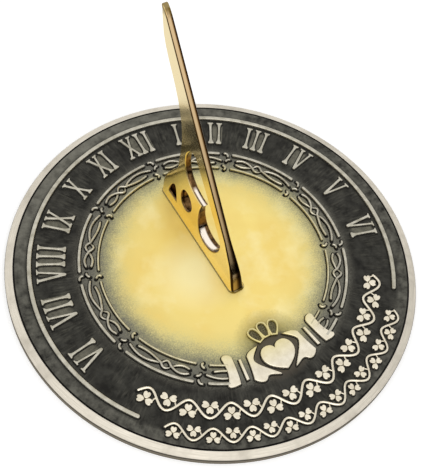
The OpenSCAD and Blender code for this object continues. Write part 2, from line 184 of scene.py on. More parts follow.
def mirrored(outline: Sequence[Point]) -> list[Point]:
    """Gives the outline reflected across the noon line."""
    return [(-x, y) for x, y in outline]


# Modelling


def pick(*pieces: Piece) -> None:
    """Selects these pieces and nothing else, and makes the first one active."""
    bpy.ops.object.select_all(action="DESELECT")
    for piece in pieces:
        piece.select_set(True)
    bpy.context.view_layer.objects.active = pieces[0]


@contextmanager
def editing(piece: Piece, mode: str = "FACE") -> Iterator[None]:
    """Opens a piece in edit mode with all of it selected, and closes it again.

    Args:
        piece: The mesh to edit.
        mode: What is selected: VERT, EDGE or FACE.

    Yields:
        Nothing: the block's operators act on the piece.
    """
    pick(piece)
    bpy.ops.object.mode_set(mode="EDIT")
    bpy.ops.mesh.select_mode(type=mode)
    bpy.ops.mesh.select_all(action="SELECT")
    yield
    bpy.ops.object.mode_set(mode="OBJECT")


def drawn(name: str, places: Sequence[Place], filled: bool = True) -> Piece:
    """Adds a circle of as many corners as an outline has, and moves each to its place.

    Args:
        name: The new piece's name.
        places: The outline's corners.
        filled: Whether a face fills the outline.

    Returns:
        The flat piece.
    """
    bpy.ops.object.select_all(action="DESELECT")
    bpy.ops.mesh.primitive_circle_add(
        vertices=len(places), radius=MM, fill_type="NGON" if filled else "NOTHING"
    )
    piece = bpy.context.object
    piece.name = piece.data.name = name
    for vertex, place in zip(piece.data.vertices, places):
        vertex.co = Vector(place) * MM
    piece.data.update()
    return piece


def prism(name: str, places: Sequence[Place], push: Place) -> Piece:
    """Draws a flat outline and extrudes it into a closed solid.

    Args:
        name: The new piece's name.
        places: The outline's corners, in one plane.
        push: The extrusion's direction and length.

    Returns:
        The solid, with its new face still selected.
    """
    piece = drawn(name, places)
    backwards = piece.data.polygons[0].normal.dot(Vector(push)) < 0
    with editing(piece):
        if backwards:
            bpy.ops.mesh.flip_normals()
        bpy.ops.mesh.extrude_region_move(TRANSFORM_OT_translate={"value": Vector(push) * MM})
    return piece


@dataclass(frozen=True)
class Step:
    """One inset of a relief's top: how far in, and how far up or down."""

    inward: float
    up: float


def rounded_edge(radius: float) -> list[Step]:
    """Gives the insets that round a top edge.

    Args:
        radius: The rounding's radius.

    Returns:
        The insets in order, outermost first.
    """
    turns = [math.radians(turn) for turn in (0, 30, 60, 90)]
    spots = [(radius * (1 - math.cos(turn)), radius * math.sin(turn)) for turn in turns]
    return [Step(b[0] - a[0], b[1] - a[1]) for a, b in zip(spots, spots[1:])]


@dataclass(frozen=True)
class Corner:
    """A corner of an outline, and how it moves in when the outline shrinks.

    Attributes:
        place: Where it is.
        inward: The direction in which it moves.
        stretch: How far it moves while the sides beside it move in by 1.
        room: Radius of the largest circle inside the outline that touches it.
        outside: The same for circles outside the outline.
    """

    place: Vector
    inward: Vector
    stretch: float
    room: float
    outside: float

    def moved(self, distance: float) -> Vector:
        """Gives its place when the sides move in by a distance, or out by a negative one."""
        limit = ROOM_SHARE * (self.room if distance > 0 else self.outside) / self.stretch
        return self.place + self.inward * max(-limit, min(limit, distance)) * self.stretch


def corners_of(outline: Sequence[Point]) -> list[Corner]:
    """Finds how each corner of an outline moves in.

    Args:
        outline: The outline, counterclockwise.

    Returns:
        Its corners in order.
    """
    # A sharp corner moves at most 1 / 0.6 times as far as its sides
    places = [Vector(point) for point in outline]
    corners = []
    for i, place in enumerate(places):
        before = (place - places[i - 1]).normalized()
        after = (places[(i + 1) % len(places)] - place).normalized()
        inward = Vector((-before.y - after.y, before.x + after.x)).normalized()
        stretch = 1 / max(0.6, math.sqrt(max(0.0, (1 + before.dot(after)) / 2)))
        room = outside = math.inf
        for other in places:
            across = other - place
            ahead = inward.dot(across)
            if ahead > 1e-6:
                room = min(room, across.length_squared / (2 * ahead))
            elif ahead < -1e-6:
                outside = min(outside, -across.length_squared / (2 * ahead))
        corners.append(Corner(place, inward, stretch, room, outside))
    return corners


def lofted(name: str, rings: Sequence[Sequence[Place]]) -> Piece:
    """Extrudes a flat outline ring by ring into a closed solid.

    Args:
        name: The new piece's name.
        rings: Outlines of equally many corners, counterclockwise from above. The first
            is the solid's underside, and a face closes the last.

    Returns:
        The solid.
    """
    piece = drawn(name, rings[0])
    for ring, last in zip(rings[1:], rings):
        pick(piece)
        bpy.ops.object.mode_set(mode="EDIT")
        bpy.ops.mesh.extrude_region_move(TRANSFORM_OT_translate={"value": (0, 0, 0)})
        bpy.ops.object.mode_set(mode="OBJECT")
        mesh = piece.data
        top = next(face for face in mesh.polygons if face.select)
        corners = list(top.vertices)
        begin = Vector(last[0]) * MM
        first = min(range(len(corners)), key=lambda i: (mesh.vertices[corners[i]].co - begin).length)
        for corner, place in zip(corners[first:] + corners[:first], ring):
            mesh.vertices[corner].co = Vector(place) * MM
        mesh.update()
    return piece


def relief(
    name: str, outline: Sequence[Point], rise: float, steps: Sequence[Step], skirt: float = 0.6
) -> Piece:
    """Raises an outline out of the field and shapes its top by insets.

    A low hollow skirt leads up to its sides, as a mould needs. A corner goes in only as
    far as half the width there, so a narrow end keeps its shape and stays a little lower.

    Args:
        name: The new piece's name.
        outline: The foot's outline.
        rise: Height of the highest of the straight sides and the rounding above the field.
        steps: The insets of the top, in order.
        skirt: Width of the skirt.

    Returns:
        The relief, rooted in the plate.
    """
    corners = corners_of(counterclockwise(outline))
    side_top = FIELD_Z + rise - sum(step.up for step in steps if step.up > 0)
    foot = ((skirt, -ROOT), (skirt, 0.04), (0.35 * skirt, 0.14), (0, 0.4))
    rings = [[(*corner.moved(-out), FIELD_Z + up) for corner in corners] for out, up in foot]
    rings.append([(*corner.place, side_top) for corner in corners])
    inset = 0.0
    tops = [side_top] * len(corners)
    for step in steps:
        ring = []
        for i, corner in enumerate(corners):
            # A corner that has no room left keeps its place, and rises by what it still moved
            limit = ROOM_SHARE * corner.room / corner.stretch
            tops[i] += step.up * min(1.0, max(0.0, (limit - inset) / step.inward))
            ring.append((*corner.moved(inset + step.inward), tops[i]))
        inset += step.inward
        rings.append(ring)
    return lofted(name, rings)


def strand(name: str, path: Sequence[Place], width: float, rise: float) -> Piece:
    """Lays a half-buried cord of metal along a path, with round ends.

    Args:
        name: The new piece's name.
        path: Points along the cord: x, y and how far it lies above its usual height.
        width: The cord's width.
        rise: Height of its top above the field where the path's third value is 0.

    Returns:
        The cord as a closed mesh.
    """
    half = width / 2
    # The cord is an upright ellipse, its middle a little above the field
    tall = rise * 0.68
    stretch = tall / half
    bpy.ops.object.select_all(action="DESELECT")
    bpy.ops.curve.primitive_bezier_curve_add()
    cord = bpy.context.object
    cord.name = name
    shape = cord.data
    shape.splines.clear()
    spline = shape.splines.new("POLY")
    stations = round_ended([Vector(place) for place in path], half)
    spline.points.add(len(stations) - 1)
    for point, (place, girth) in zip(spline.points, stations):
        point.co = (place.x * MM, place.y * MM, place.z * MM / stretch, 1)
        point.radius = girth
    shape.dimensions = "3D"
    shape.twist_mode = "Z_UP"
    shape.bevel_depth = half * MM
    shape.bevel_resolution = 2
    shape.use_fill_caps = True
    pick(cord)
    bpy.ops.object.convert(target="MESH")
    cord = bpy.context.object
    cord.scale = (1, 1, stretch)
    cord.location = (0, 0, (FIELD_Z + rise - tall) * MM)
    bpy.ops.object.transform_apply(location=True, rotation=True, scale=True)
    with editing(cord, "VERT"):
        bpy.ops.mesh.remove_doubles(threshold=SAME)
    return cord


def cord_foot(name: str, path: Sequence[Place], width: float, skirt: float = 0.5) -> Piece:
    """Lays a cord's low foot: a flat ribbon a hair above the field, wider than the cord.

    Args:
        name: The new piece's name.
        path: The cord's points.
        width: The cord's width.
        skirt: How far the ribbon stands out on either side.

    Returns:
        The ribbon as a closed mesh.
    """
    outline = ribbon_outline([(x, y) for x, y, _ in path], width + 2 * skirt)
    ring = [(x, y, FIELD_Z - ROOT) for x, y in outline]
    return prism(name, ring, (0, 0, ROOT + 0.06))


def round_ended(line: Sequence[Vector], half: float) -> list[tuple[Vector, float]]:
    """Adds stations near both ends of a line, where a cord along it draws in to a dome.

    Args:
        line: The line's points.
        half: Half the cord's width.

    Returns:
        Each station's place and the share of the full width that it has.
    """
    # Turns of the dome at which there are stations, and the least girth, at its tip
    turns = (20, 45, 65)
    tip_girth = 0.08
    first, last = line[0], line[-1]
    inward = (line[1] - first).normalized()
    outward = (line[-2] - last).normalized()
    shares = [(1 - math.cos(math.radians(turn)), math.sin(math.radians(turn))) for turn in turns]
    opening = [(first + inward * half * along, girth) for along, girth in shares]
    closing = [(last + outward * half * along, girth) for along, girth in reversed(shares)]
    middle = [
        (point, 1.0)
        for point in line
        if (point - first).length > half and (point - last).length > half
    ]
    return [(first, tip_girth), *opening, *middle, *closing, (last, tip_girth)]


def spun(name: str, profile: Sequence[Point], steps: int) -> Piece:
    """Spins a profile round the dial's axis.

    Args:
        name: The new piece's name.
        profile: Points as radius and height, with both ends on the axis.
        steps: The number of steps of the full turn.

    Returns:
        The closed solid.
    """
    piece = drawn(name, [(radius, 0, height) for radius, height in profile], filled=False)
    mesh = piece.data
    # The edge that lies along the axis is left out
    for vertex in mesh.vertices:
        vertex.select = vertex.co.x < SAME
    for edge in mesh.edges:
        edge.select = all(mesh.vertices[i].select for i in edge.vertices)
    pick(piece)
    bpy.ops.object.mode_set(mode="EDIT")
    bpy.ops.mesh.select_mode(type="EDGE")
    bpy.ops.mesh.delete(type="EDGE_FACE")
    bpy.ops.object.mode_set(mode="OBJECT")
    with editing(piece, "EDGE"):
        bpy.ops.mesh.spin(steps=steps, angle=math.tau, center=(0, 0, 0), axis=(0, 0, 1))
        bpy.ops.mesh.select_all(action="SELECT")
        bpy.ops.mesh.remove_doubles(threshold=SAME)
        bpy.ops.mesh.normals_make_consistent(inside=False)
    return piece


def joined(name: str, pieces: Sequence[Piece]) -> Piece:
    """Joins several pieces into one.

    Args:
        name: The new piece's name.
        pieces: The pieces, which go into the first.

    Returns:
        The whole.
    """
    pick(*pieces)
    if len(pieces) > 1:
        bpy.ops.object.join()
    piece = bpy.context.object
    piece.name = piece.data.name = name
    return piece


def copied(source: Piece, name: str, turn: float = 0, at: Place = (0, 0, 0)) -> Piece:
    """Copies a piece with a mesh of its own, sets it in place and applies the place.

    Args:
        source: The piece to copy.
        name: The copy's name.
        turn: Clockwise turn about the copy's own origin, seen from above.
        at: Where the source's origin goes.

    Returns:
        The copy, its object at the origin.
    """
    pick(source)
    bpy.ops.object.duplicate()
    piece = bpy.context.object
    piece.name = piece.data.name = name
    piece.rotation_euler.z = -math.radians(turn)
    piece.location = Vector(at) * MM
    bpy.ops.object.transform_apply(location=True, rotation=True, scale=True)
    return piece


def discarded(*pieces: Piece) -> None:
    """Deletes patterns and cutters that have done their work."""
    pick(*pieces)
    bpy.ops.object.delete()


def combined(piece: Piece, tool: Piece, operation: str) -> None:
    """Joins a tool to a piece or cuts it away, and deletes the tool.

    Args:
        piece: The piece that stays.
        tool: What is joined or cut away.
        operation: UNION or DIFFERENCE.
    """
    modifier = piece.modifiers.new("combine", "BOOLEAN")
    modifier.operation = operation
    modifier.solver = "EXACT"
    modifier.use_self = True
    modifier.object = tool
    pick(piece)
    bpy.ops.object.modifier_apply(modifier=modifier.name)
    discarded(tool)


def finished(
    piece: Piece, node: str, material: bpy.types.Material, smooth_angle: float | None = 35
) -> None:
    """Dresses a piece, ties it to the frame and reports it.

    Args:
        piece: The piece.
        node: The frame's node that it stands for.
        material: The finish.
        smooth_angle: Edges flatter than this are shaded smooth. None leaves the shading.
    """
    piece.data.materials.clear()
    piece.data.materials.append(material)
    if smooth_angle is not None:
        pick(piece)
        bpy.ops.object.shade_smooth_by_angle(angle=math.radians(smooth_angle))
    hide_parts(node)
    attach(piece, BODY)
    log.info("%s: %d faces in %s", piece.name, len(piece.data.polygons), material.name)


# Finishes


def linear(code: str) -> tuple[float, float, float, float]:
    """Turns an sRGB hex colour into linear red, green, blue and alpha.

    Args:
        code: The colour, as six hex digits.

    Returns:
        The colour that Blender wants.
    """
    parts = [int(code[i : i + 2], 16) / 255 for i in (0, 2, 4)]
    straight = [c / 12.92 if c <= 0.04045 else ((c + 0.055) / 1.055) ** 2.4 for c in parts]
    return (*straight, 1.0)


def add_node(
    tree: bpy.types.NodeTree, kind: str, *values: Any, named: dict[str, Any] | None = None, **settings: Any
) -> bpy.types.Node:
    """Adds a node with its settings, values and links.

    A value is a number, a vector, a hex colour, an output that feeds the input, or a
    node, which stands for its first output in use. A Mix node mixes colours.

    Args:
        tree: The node tree.
        kind: The node's type, without the ShaderNode that it starts with.
        values: What its inputs in use get, in their order.
        named: What other inputs get, by name.
        settings: The node's own properties.

    Returns:
        The node.
    """
    node = tree.nodes.new(f"ShaderNode{kind}")
    usual = {"data_type": "RGBA"} if kind == "Mix" else {}
    for name, setting in (usual | settings).items():
        setattr(node, name, setting)
    pairs = list(zip([socket for socket in node.inputs if socket.enabled], values))
    pairs += [(node.inputs[name], value) for name, value in (named or {}).items()]
    for socket, value in pairs:
        if isinstance(value, bpy.types.Node):
            value = next(output for output in value.outputs if output.enabled)
        if isinstance(value, bpy.types.NodeSocket):
            tree.links.new(value, socket)
        else:
            socket.default_value = linear(value) if isinstance(value, str) else value
    return node


def metres(*lengths: float) -> list[float]:
    """Turns millimetres into metres."""
    return [length * MM for length in lengths]


def set_stops(node: bpy.types.Node, stops: Sequence[Stop], kind: str = "LINEAR") -> bpy.types.Node:
    """Sets the stops of a colour ramp, each a position from 0 to 1 and a hex colour.

    Args:
        node: The ramp's node.
        stops: The stops in order.
        kind: How the ramp runs between them.

    Returns:
        The node.
    """
    ramp = node.color_ramp
    ramp.interpolation = kind
    while len(ramp.elements) > 1:
        ramp.elements.remove(ramp.elements[-1])
    for i, (position, code) in enumerate(stops):
        element = ramp.elements[0] if i == 0 else ramp.elements.new(position)
        element.position = position
        element.color = linear(code)
    return node


def new_material(name: str) -> tuple[bpy.types.Material, Adder]:
    """Gives a new material with an empty node tree.

    Args:
        name: The material's name.

    Returns:
        The material, and what adds nodes to it.
    """
    material = bpy.data.materials.new(name)
    material.use_nodes = True
    material.node_tree.nodes.clear()
    return material, partial(add_node, material.node_tree)


def surfaced(add: Adder, colour: Source, metallic: Any, roughness: Any, bump: dict[str, Any]) -> None:
    """Ends a metal's tree with its surface shader.

    Args:
        add: What adds a node to the tree.
        colour: The base colour.
        metallic: How far the surface is bare metal.
        roughness: How rough it is.
        bump: The relief that its normals follow: Height, Distance and Strength.
    """
    looks = {
        "Base Color": colour,
        "Metallic": metallic,
        "Roughness": roughness,
        "Normal": add("Bump", named=bump),
    }
    add("OutputMaterial", add("BsdfPrincipled", named=looks))


def all_of(add: Adder, *shares: Source) -> Source:
    """Gives how far a place lies in all of several zones, each a share from 0 to 1.

    Args:
        add: What adds a node to the tree.
        shares: The zones.

    Returns:
        The share of the whole.
    """
    whole, *others = shares
    for share in others:
        whole = add("Math", whole, share, operation="MULTIPLY")
    return whole


def distance_from(add: Adder, place: Source, middle: Place) -> bpy.types.Node:
    """Gives the distance from an upright axis, in metres.

    Args:
        add: What adds a node to the tree.
        place: The place.
        middle: A point on the axis.

    Returns:
        The distance.
    """
    away = add("VectorMath", place, Vector(middle) * MM, operation="SUBTRACT")
    flat = add("VectorMath", away, (1, 1, 0), operation="MULTIPLY")
    return add("VectorMath", flat, operation="LENGTH")


@dataclass(frozen=True)
class Patches:
    """Irregular patches that come and go over a surface, such as blots or wear.

    Attributes:
        width: How wide the patches are.
        detail: How many finer layers lie over them.
        rough: How strong those are.
        levels: The noise at which a patch starts, and that from which it is full.
        shares: The outcome outside the patches and inside them.
        reach: How far an edge wanders with them, from one extreme to the other.
    """

    width: float
    detail: float = 4
    rough: float = 0.6
    levels: Span = (0, 1)
    shares: Span = (0, 1)
    reach: float = 0

    def plain(self, add: Adder, place: Source) -> bpy.types.Node:
        """Gives the noise itself, which is about 0.5 on average."""
        return add("TexNoise", place, 1 / (self.width * MM), self.detail, self.rough)

    def over(self, add: Adder, place: Source) -> bpy.types.Node:
        """Gives the patches."""
        return add("MapRange", self.plain(add, place), *self.levels, *self.shares)

    def wandering(self, add: Adder, noise: Source) -> bpy.types.Node:
        """Turns the noise into a length in metres that wanders about 0."""
        centred = add("Math", noise, 0.5, operation="SUBTRACT")
        return add("Math", centred, self.reach * MM, operation="MULTIPLY")


@dataclass(frozen=True)
class PatinatedCasting:
    """Cast brass plated in antique nickel, blackened in its hollows and relieved by hand.

    The field keeps its dark, mottled patina, the middle is airbrushed in satin gold that
    thins out before the border, and the rim is turned and brushed bright.
    """

    name: str = "patinated_brass_field"
    gold: str = "F7E18C"
    gold_deep: str = "EFD37A"
    # Pale gold, for the paler patches and for the painted glow west of the gnomon
    pale_gold_and_painted_glow: str = "FFF6C4"
    dark: str = "3A3934"
    darkest: str = "201F1C"
    rubbed: str = "5E5C52"
    ground: str = "6F6C5F"
    groove: str = "1B1A18"
    rim: str = "EFE8DA"
    rim_shade: str = "9C9483"
    # The turned wall below the rim, from the floor up: a painted contact shadow at the floor, mid grey
    # above it and darker again just below the rim's edge
    wall: tuple[Stop, ...] = ((0, "3A352C"), (0.9, "7E7666"), (3.2, "8E8676"), (4.6, "4A443A"))
    outer: str = "76746A"
    underside: str = "8A7448"
    underside_dark: str = "5E5136"
    # The gold is full as far out as this, and then thins out until the dark field starts
    gold_r: float = 36
    fade: tuple[Stop, ...] = (
        (50, "F1DC8B"), (56, "E8D68A"), (61, "D8CC8D"), (65, "BFB786"), (69, "A29D79"),
        (73, "87846F"), (78, "716F64"), (83, "6B6960"), (87, "55534B"), (91, "413F3A"),
    )
    # The middle of the gold, which was sprayed by eye
    spray_at: Place = (1.8, 0.8, 0)
    # West of the gnomon the gold is palest: a painted glow, standing in for the light that the blade throws
    # onto the plate
    painted_glow_at: Place = (-15, -2, 0)
    painted_glow_zone: Span = (8, 30)
    painted_glow_share: float = 0.75
    # Radii over which one ground gives way to the next: the spray turns uneven, the gold
    # stops lying thick, patina shows in its pits, and the dark field, the groove and the
    # rim begin
    uneven_zone: Span = (48, 66)
    thick_zone: Span = (56, 70)
    pitted_zone: Span = (66, 78)
    dark_zone: Span = (85, 91)
    groove_zone: Span = (123.75, 124)
    rim_zone: Span = (124.85, 125.15)
    # Beyond the band the field is lighter, and below this height the casting is raw
    lighter_zone: Span = (116, 118.5)
    underside_z: Span = (3.9, 4.3)
    # Darker halos over the gold: each place, the radii over which the halo ends, its
    # strength and its colour. It is olive round the crown and dark behind the heart.
    halos: tuple[tuple[Place, float, float, float, str], ...] = (
        ((1.3, -64.5, 0), 10, 23, 0.75, "726C44"),
        ((1.3, -74.8, 0), 14.5, 17.5, 0.92, "524C43"),
    )
    # Radii over which the worn ground between the numerals' strokes starts and ends
    worn_from: Span = (93.5, 96)
    worn_to: Span = (108, 110.5)
    # The cast skin, and what spraying, patina and rubbing leave on it
    grain: Patches = Patches(0.9, 4, 0.7, (0.3, 0.75))
    brushing: Patches = Patches(14, 3, 0.6, (0.35, 0.7), (0, 0.5))
    specks: Patches = Patches(0.8, 3, 0.8, reach=26)
    clouds: Patches = Patches(16, 3, reach=10)
    warm: Patches = Patches(26, 2, 0.6, (0.42, 0.68), (0, 0.6))
    pale: Patches = Patches(19, 3, 0.55, (0.52, 0.74), (0, 0.4))
    pits: Patches = Patches(1.6, 4, 0.7, (0.5, 0.75), (0, 0.5))
    ragged: Patches = Patches(1.3, 4, 0.75, reach=7)
    blots: Patches = Patches(8, 5, 0.62, (0.38, 0.64))
    smears: Patches = Patches(11, 4, 0.6, (0.4, 0.62))
    lighter: Patches = Patches(7, 4, 0.65, (0.35, 0.65), (0, 0.62))
    worn_through: Patches = Patches(3, 4, 0.65, (0.3, 0.6), (0.35, 0.95))
    # Hand rubbing leaves streaks this long that run in and out, so many to the radian
    streak_len: float = 9
    streaks_round: float = 70
    # Turned rings lie this far apart, which is as fine as shows
    ring_gap: float = 0.35
    rings_round: float = 7
    # The dark field is a little less bare metal than the gold
    metallic: Span = (1, 0.85)
    # Roughness of the gold and of its thin edge, and how much rougher the brushed rim is
    roughness: Span = (0.4, 0.52)
    rim_roughness: float = 0.22

    def build(self, reach: float, worn: Sequence[Span]) -> bpy.types.Material:
        """Makes the material.

        Args:
            reach: The plate's radius, at which the colours by radius end.
            worn: First and last angle of each stretch of worn ground.

        Returns:
            The material.
        """
        material, add = new_material(self.name)
        place = add("TexCoord").outputs["Object"]
        x, y, z = add("SeparateXYZ", place).outputs
        radius = distance_from(add, place, (0, 0, 0))
        angle = add("Math", x, y, operation="ARCTAN2")
        grain = self.grain.over(add, place)
        gilt, gold_zone = self.gilded(add, place, reach)
        patina = self.patinated(add, place, radius, angle, worn)
        dark_zone = add("MapRange", radius, *metres(*self.dark_zone))
        colour = add("Mix", dark_zone, gilt, patina)
        in_groove = add("MapRange", radius, *metres(*self.groove_zone))
        colour = add("Mix", in_groove, colour, self.groove)
        rings = self.turned_rings(add, radius, angle, z)
        brushed = self.brushed(add, place, rings)
        # The wall below the rim has bands of its own by height, a painted contact shadow at its foot among
        # them
        wall = add("ValToRGB", add("MapRange", z, 0, FIELD_Z * MM))
        set_stops(wall, [(height / FIELD_Z, code) for height, code in self.wall])
        on_wall = add("MapRange", radius, *metres(reach - 0.3, reach - 0.1))
        brushed = add("Mix", on_wall, brushed, wall)
        on_rim = add("MapRange", radius, *metres(*self.rim_zone))
        colour = add("Mix", on_rim, colour, brushed)
        # Under the plate the casting is left as it came, dull and brown
        below = add("MapRange", z, *metres(*self.underside_z), 1, 0)
        inside = add("MapRange", radius, *metres(reach - 0.6, reach - 0.3), 1, 0)
        dull = add("Mix", grain, self.underside, self.underside_dark)
        colour = add("Mix", all_of(add, below, inside), colour, dull)
        skin = add("Math", grain, 0.6, operation="MULTIPLY")
        bump = add("Math", skin, all_of(add, on_rim, rings), operation="ADD")
        satin = add("MapRange", gold_zone, 0, 1, *self.roughness)
        coarser = add("Math", on_rim, self.rim_roughness, operation="MULTIPLY")
        surfaced(
            add,
            colour,
            add("MapRange", dark_zone, 0, 1, *self.metallic),
            add("Math", satin, coarser, operation="ADD"),
            {"Height": bump, "Distance": 0.12 * MM, "Strength": 0.35},
        )
        return material

    def gilded(self, add: Adder, place: Source, reach: float) -> tuple[Source, Source]:
        """Colours the middle and the border.

        Args:
            add: What adds a node to the tree.
            place: The place on the plate.
            reach: The plate's radius.

        Returns:
            The colour, and the share of the gold that lies thick.
        """
        radius = distance_from(add, place, self.spray_at)
        # Sprayed gold thins unevenly, in specks under a millimetre and in wide clouds
        grains = [kind.wandering(add, kind.plain(add, place)) for kind in (self.specks, self.clouds)]
        uneven = add("Math", *grains, operation="ADD")
        thinning = add("MapRange", radius, *metres(*self.uneven_zone))
        uneven = add("Math", uneven, thinning, operation="MULTIPLY")
        wavering = add("Math", radius, uneven, operation="ADD")
        share = add("Math", wavering, reach * MM, operation="DIVIDE")
        stops = [(r / reach, code) for r, code in ((0, self.gold), (self.gold_r, self.gold), *self.fade)]
        colour = set_stops(add("ValToRGB", share), stops)
        zone = add("MapRange", radius, *metres(*self.thick_zone), 1, 0)
        # Patina stays in the pits of the border
        border = add("MapRange", radius, *metres(*self.pitted_zone))
        # A painted glow west of the gnomon, where the blade throws light onto the plate
        painted_glow_distance = distance_from(add, place, self.painted_glow_at)
        for amount, code in (
            (all_of(add, self.warm.over(add, place), zone), self.gold_deep),
            (all_of(add, self.pale.over(add, place), zone), self.pale_gold_and_painted_glow),
            (add("MapRange", painted_glow_distance, *metres(*self.painted_glow_zone), self.painted_glow_share, 0), self.pale_gold_and_painted_glow),
            (all_of(add, self.pits.over(add, place), border), self.dark),
        ):
            colour = add("Mix", amount, colour, code)
        # The halos' edges are ragged
        wander = self.ragged.wandering(add, self.ragged.plain(add, place))
        for middle, inner, outer, most, code in self.halos:
            away = add("Math", distance_from(add, place, middle), wander, operation="ADD")
            in_halo = add("MapRange", away, *metres(inner, outer), most, 0)
            colour = add("Mix", in_halo, colour, code)
        return colour, zone

    def patinated(
        self,
        add: Adder,
        place: Source,
        radius: Source,
        angle: Source,
        worn: Sequence[Span],
    ) -> Source:
        """Colours the dark field: black blots, rubbed streaks and worn ground.

        Args:
            add: What adds a node to the tree.
            place: The place on the plate.
            radius: Its distance from the centre.
            angle: Its angle from noon, in radians.
            worn: First and last angle of each stretch of worn ground.

        Returns:
            The colour.
        """
        outward = add("Math", radius, 1 / (self.streak_len * MM), operation="MULTIPLY")
        round_it = add("Math", angle, self.streaks_round, operation="MULTIPLY")
        streak_place = add("CombineXYZ", outward, round_it)
        streaks = add("TexNoise", streak_place, 1, 4, 0.65)
        streaks = add("MapRange", streaks, 0.45, 0.78, 0, 0.8)
        # Outside the band the field is rubbed lighter in patches, and lighter still beyond noon, where a
        # painted sheen is added
        turned = add("Math", angle, 0.3, operation="ADD")
        beyond = add("Math", turned, operation="COSINE")
        beyond = add("MapRange", beyond, 0.5, 1, 0, 0.45)
        lighter = add("Math", self.lighter.over(add, place), beyond, operation="ADD")
        outside = add("MapRange", radius, *metres(*self.lighter_zone))
        # The ground between a numeral's strokes is worn to a brownish grey
        stops = [(0, "000000")]
        for first, last in worn:
            stops += [(0.5 + first / 360, "FFFFFF"), (0.5 + last / 360, "000000")]
        turn = add("MapRange", angle, -math.pi, math.pi)
        spans = set_stops(add("ValToRGB", turn), stops, "CONSTANT")
        above = add("MapRange", radius, *metres(*self.worn_from))
        under = add("MapRange", radius, *metres(*self.worn_to), 1, 0)
        colour = self.dark
        for share, code in (
            (self.blots.over(add, place), self.darkest),
            (all_of(add, streaks, self.smears.over(add, place)), self.rubbed),
            (all_of(add, lighter, outside), self.outer),
            (all_of(add, spans, above, under, self.worn_through.over(add, place)), self.ground),
        ):
            colour = add("Mix", share, colour, code)
        return colour

    def turned_rings(self, add: Adder, radius: Source, angle: Source, height: Source) -> bpy.types.Node:
        """Gives the fine rings that turning and brushing leave round the rim.

        Args:
            add: What adds a node to the tree.
            radius: The distance from the centre.
            angle: The angle from noon, in radians.
            height: The height, which stands for the radius on the upright wall.

        Returns:
            A noise drawn out along the rings.
        """
        fine = 1 / (self.ring_gap * MM)
        scales = ((radius, fine), (angle, self.rings_round), (height, fine))
        scaled = [add("Math", value, scale, operation="MULTIPLY") for value, scale in scales]
        return add("TexNoise", add("CombineXYZ", *scaled), 1, 3)

    def brushed(self, add: Adder, place: Source, rings: Source) -> bpy.types.Node:
        """Colours the rim, grey along its rings and in a few clouds.

        Args:
            add: What adds a node to the tree.
            place: The place on the plate.
            rings: The rings.

        Returns:
            The colour.
        """
        ringed = add("MapRange", rings, 0.3, 0.75, 0, 0.5)
        shade = add("Math", self.brushing.over(add, place), ringed, operation="MAXIMUM")
        return add("Mix", shade, self.rim, self.rim_shade)


@dataclass(frozen=True)
class RubbedRelief:
    """Antique nickel relief: black at its foot and rubbed bright along its top."""

    name: str
    bright: str
    worn: str
    foot: str = "262523"
    # The gold spray also reached the relief nearest to it
    sprayed: str = "E6D684"
    spray_r: Span = (64, 79)
    spray_share: float = 0.65
    dark_rise: float = 0.25
    bright_rise: float = 0.95
    # Rubbing reaches down unevenly, and leaves a grain of patina under a millimetre wide
    grain: Patches = Patches(0.8, 4, 0.7, reach=0.7)
    wear: Patches = Patches(5, 5, 0.65, (0.35, 0.7), (0, 0.8))
    roughness: float = 0.42

    def build(self) -> bpy.types.Material:
        """Makes the material, shaded by height above the field.

        Returns:
            The material.
        """
        material, add = new_material(self.name)
        place = add("TexCoord").outputs["Object"]
        height = add("SeparateXYZ", place).outputs[2]
        grain = self.grain.plain(add, place)
        height = add("Math", height, self.grain.wandering(add, grain), operation="ADD")
        low, high = metres(FIELD_Z + self.dark_rise, FIELD_Z + self.bright_rise)
        rubbed = add("MapRange", height, low, high)
        top = add("Mix", self.wear.over(add, place), self.bright, self.worn)
        radius = distance_from(add, place, (0, 0, 0))
        near = add("MapRange", radius, *metres(*self.spray_r), self.spray_share, 0)
        top = add("Mix", near, top, self.sprayed)
        colour = add("Mix", rubbed, self.foot, top)
        bump = {"Height": grain, "Distance": 0.1 * MM, "Strength": 0.3}
        surfaced(add, colour, 1.0, self.roughness, bump)
        return material


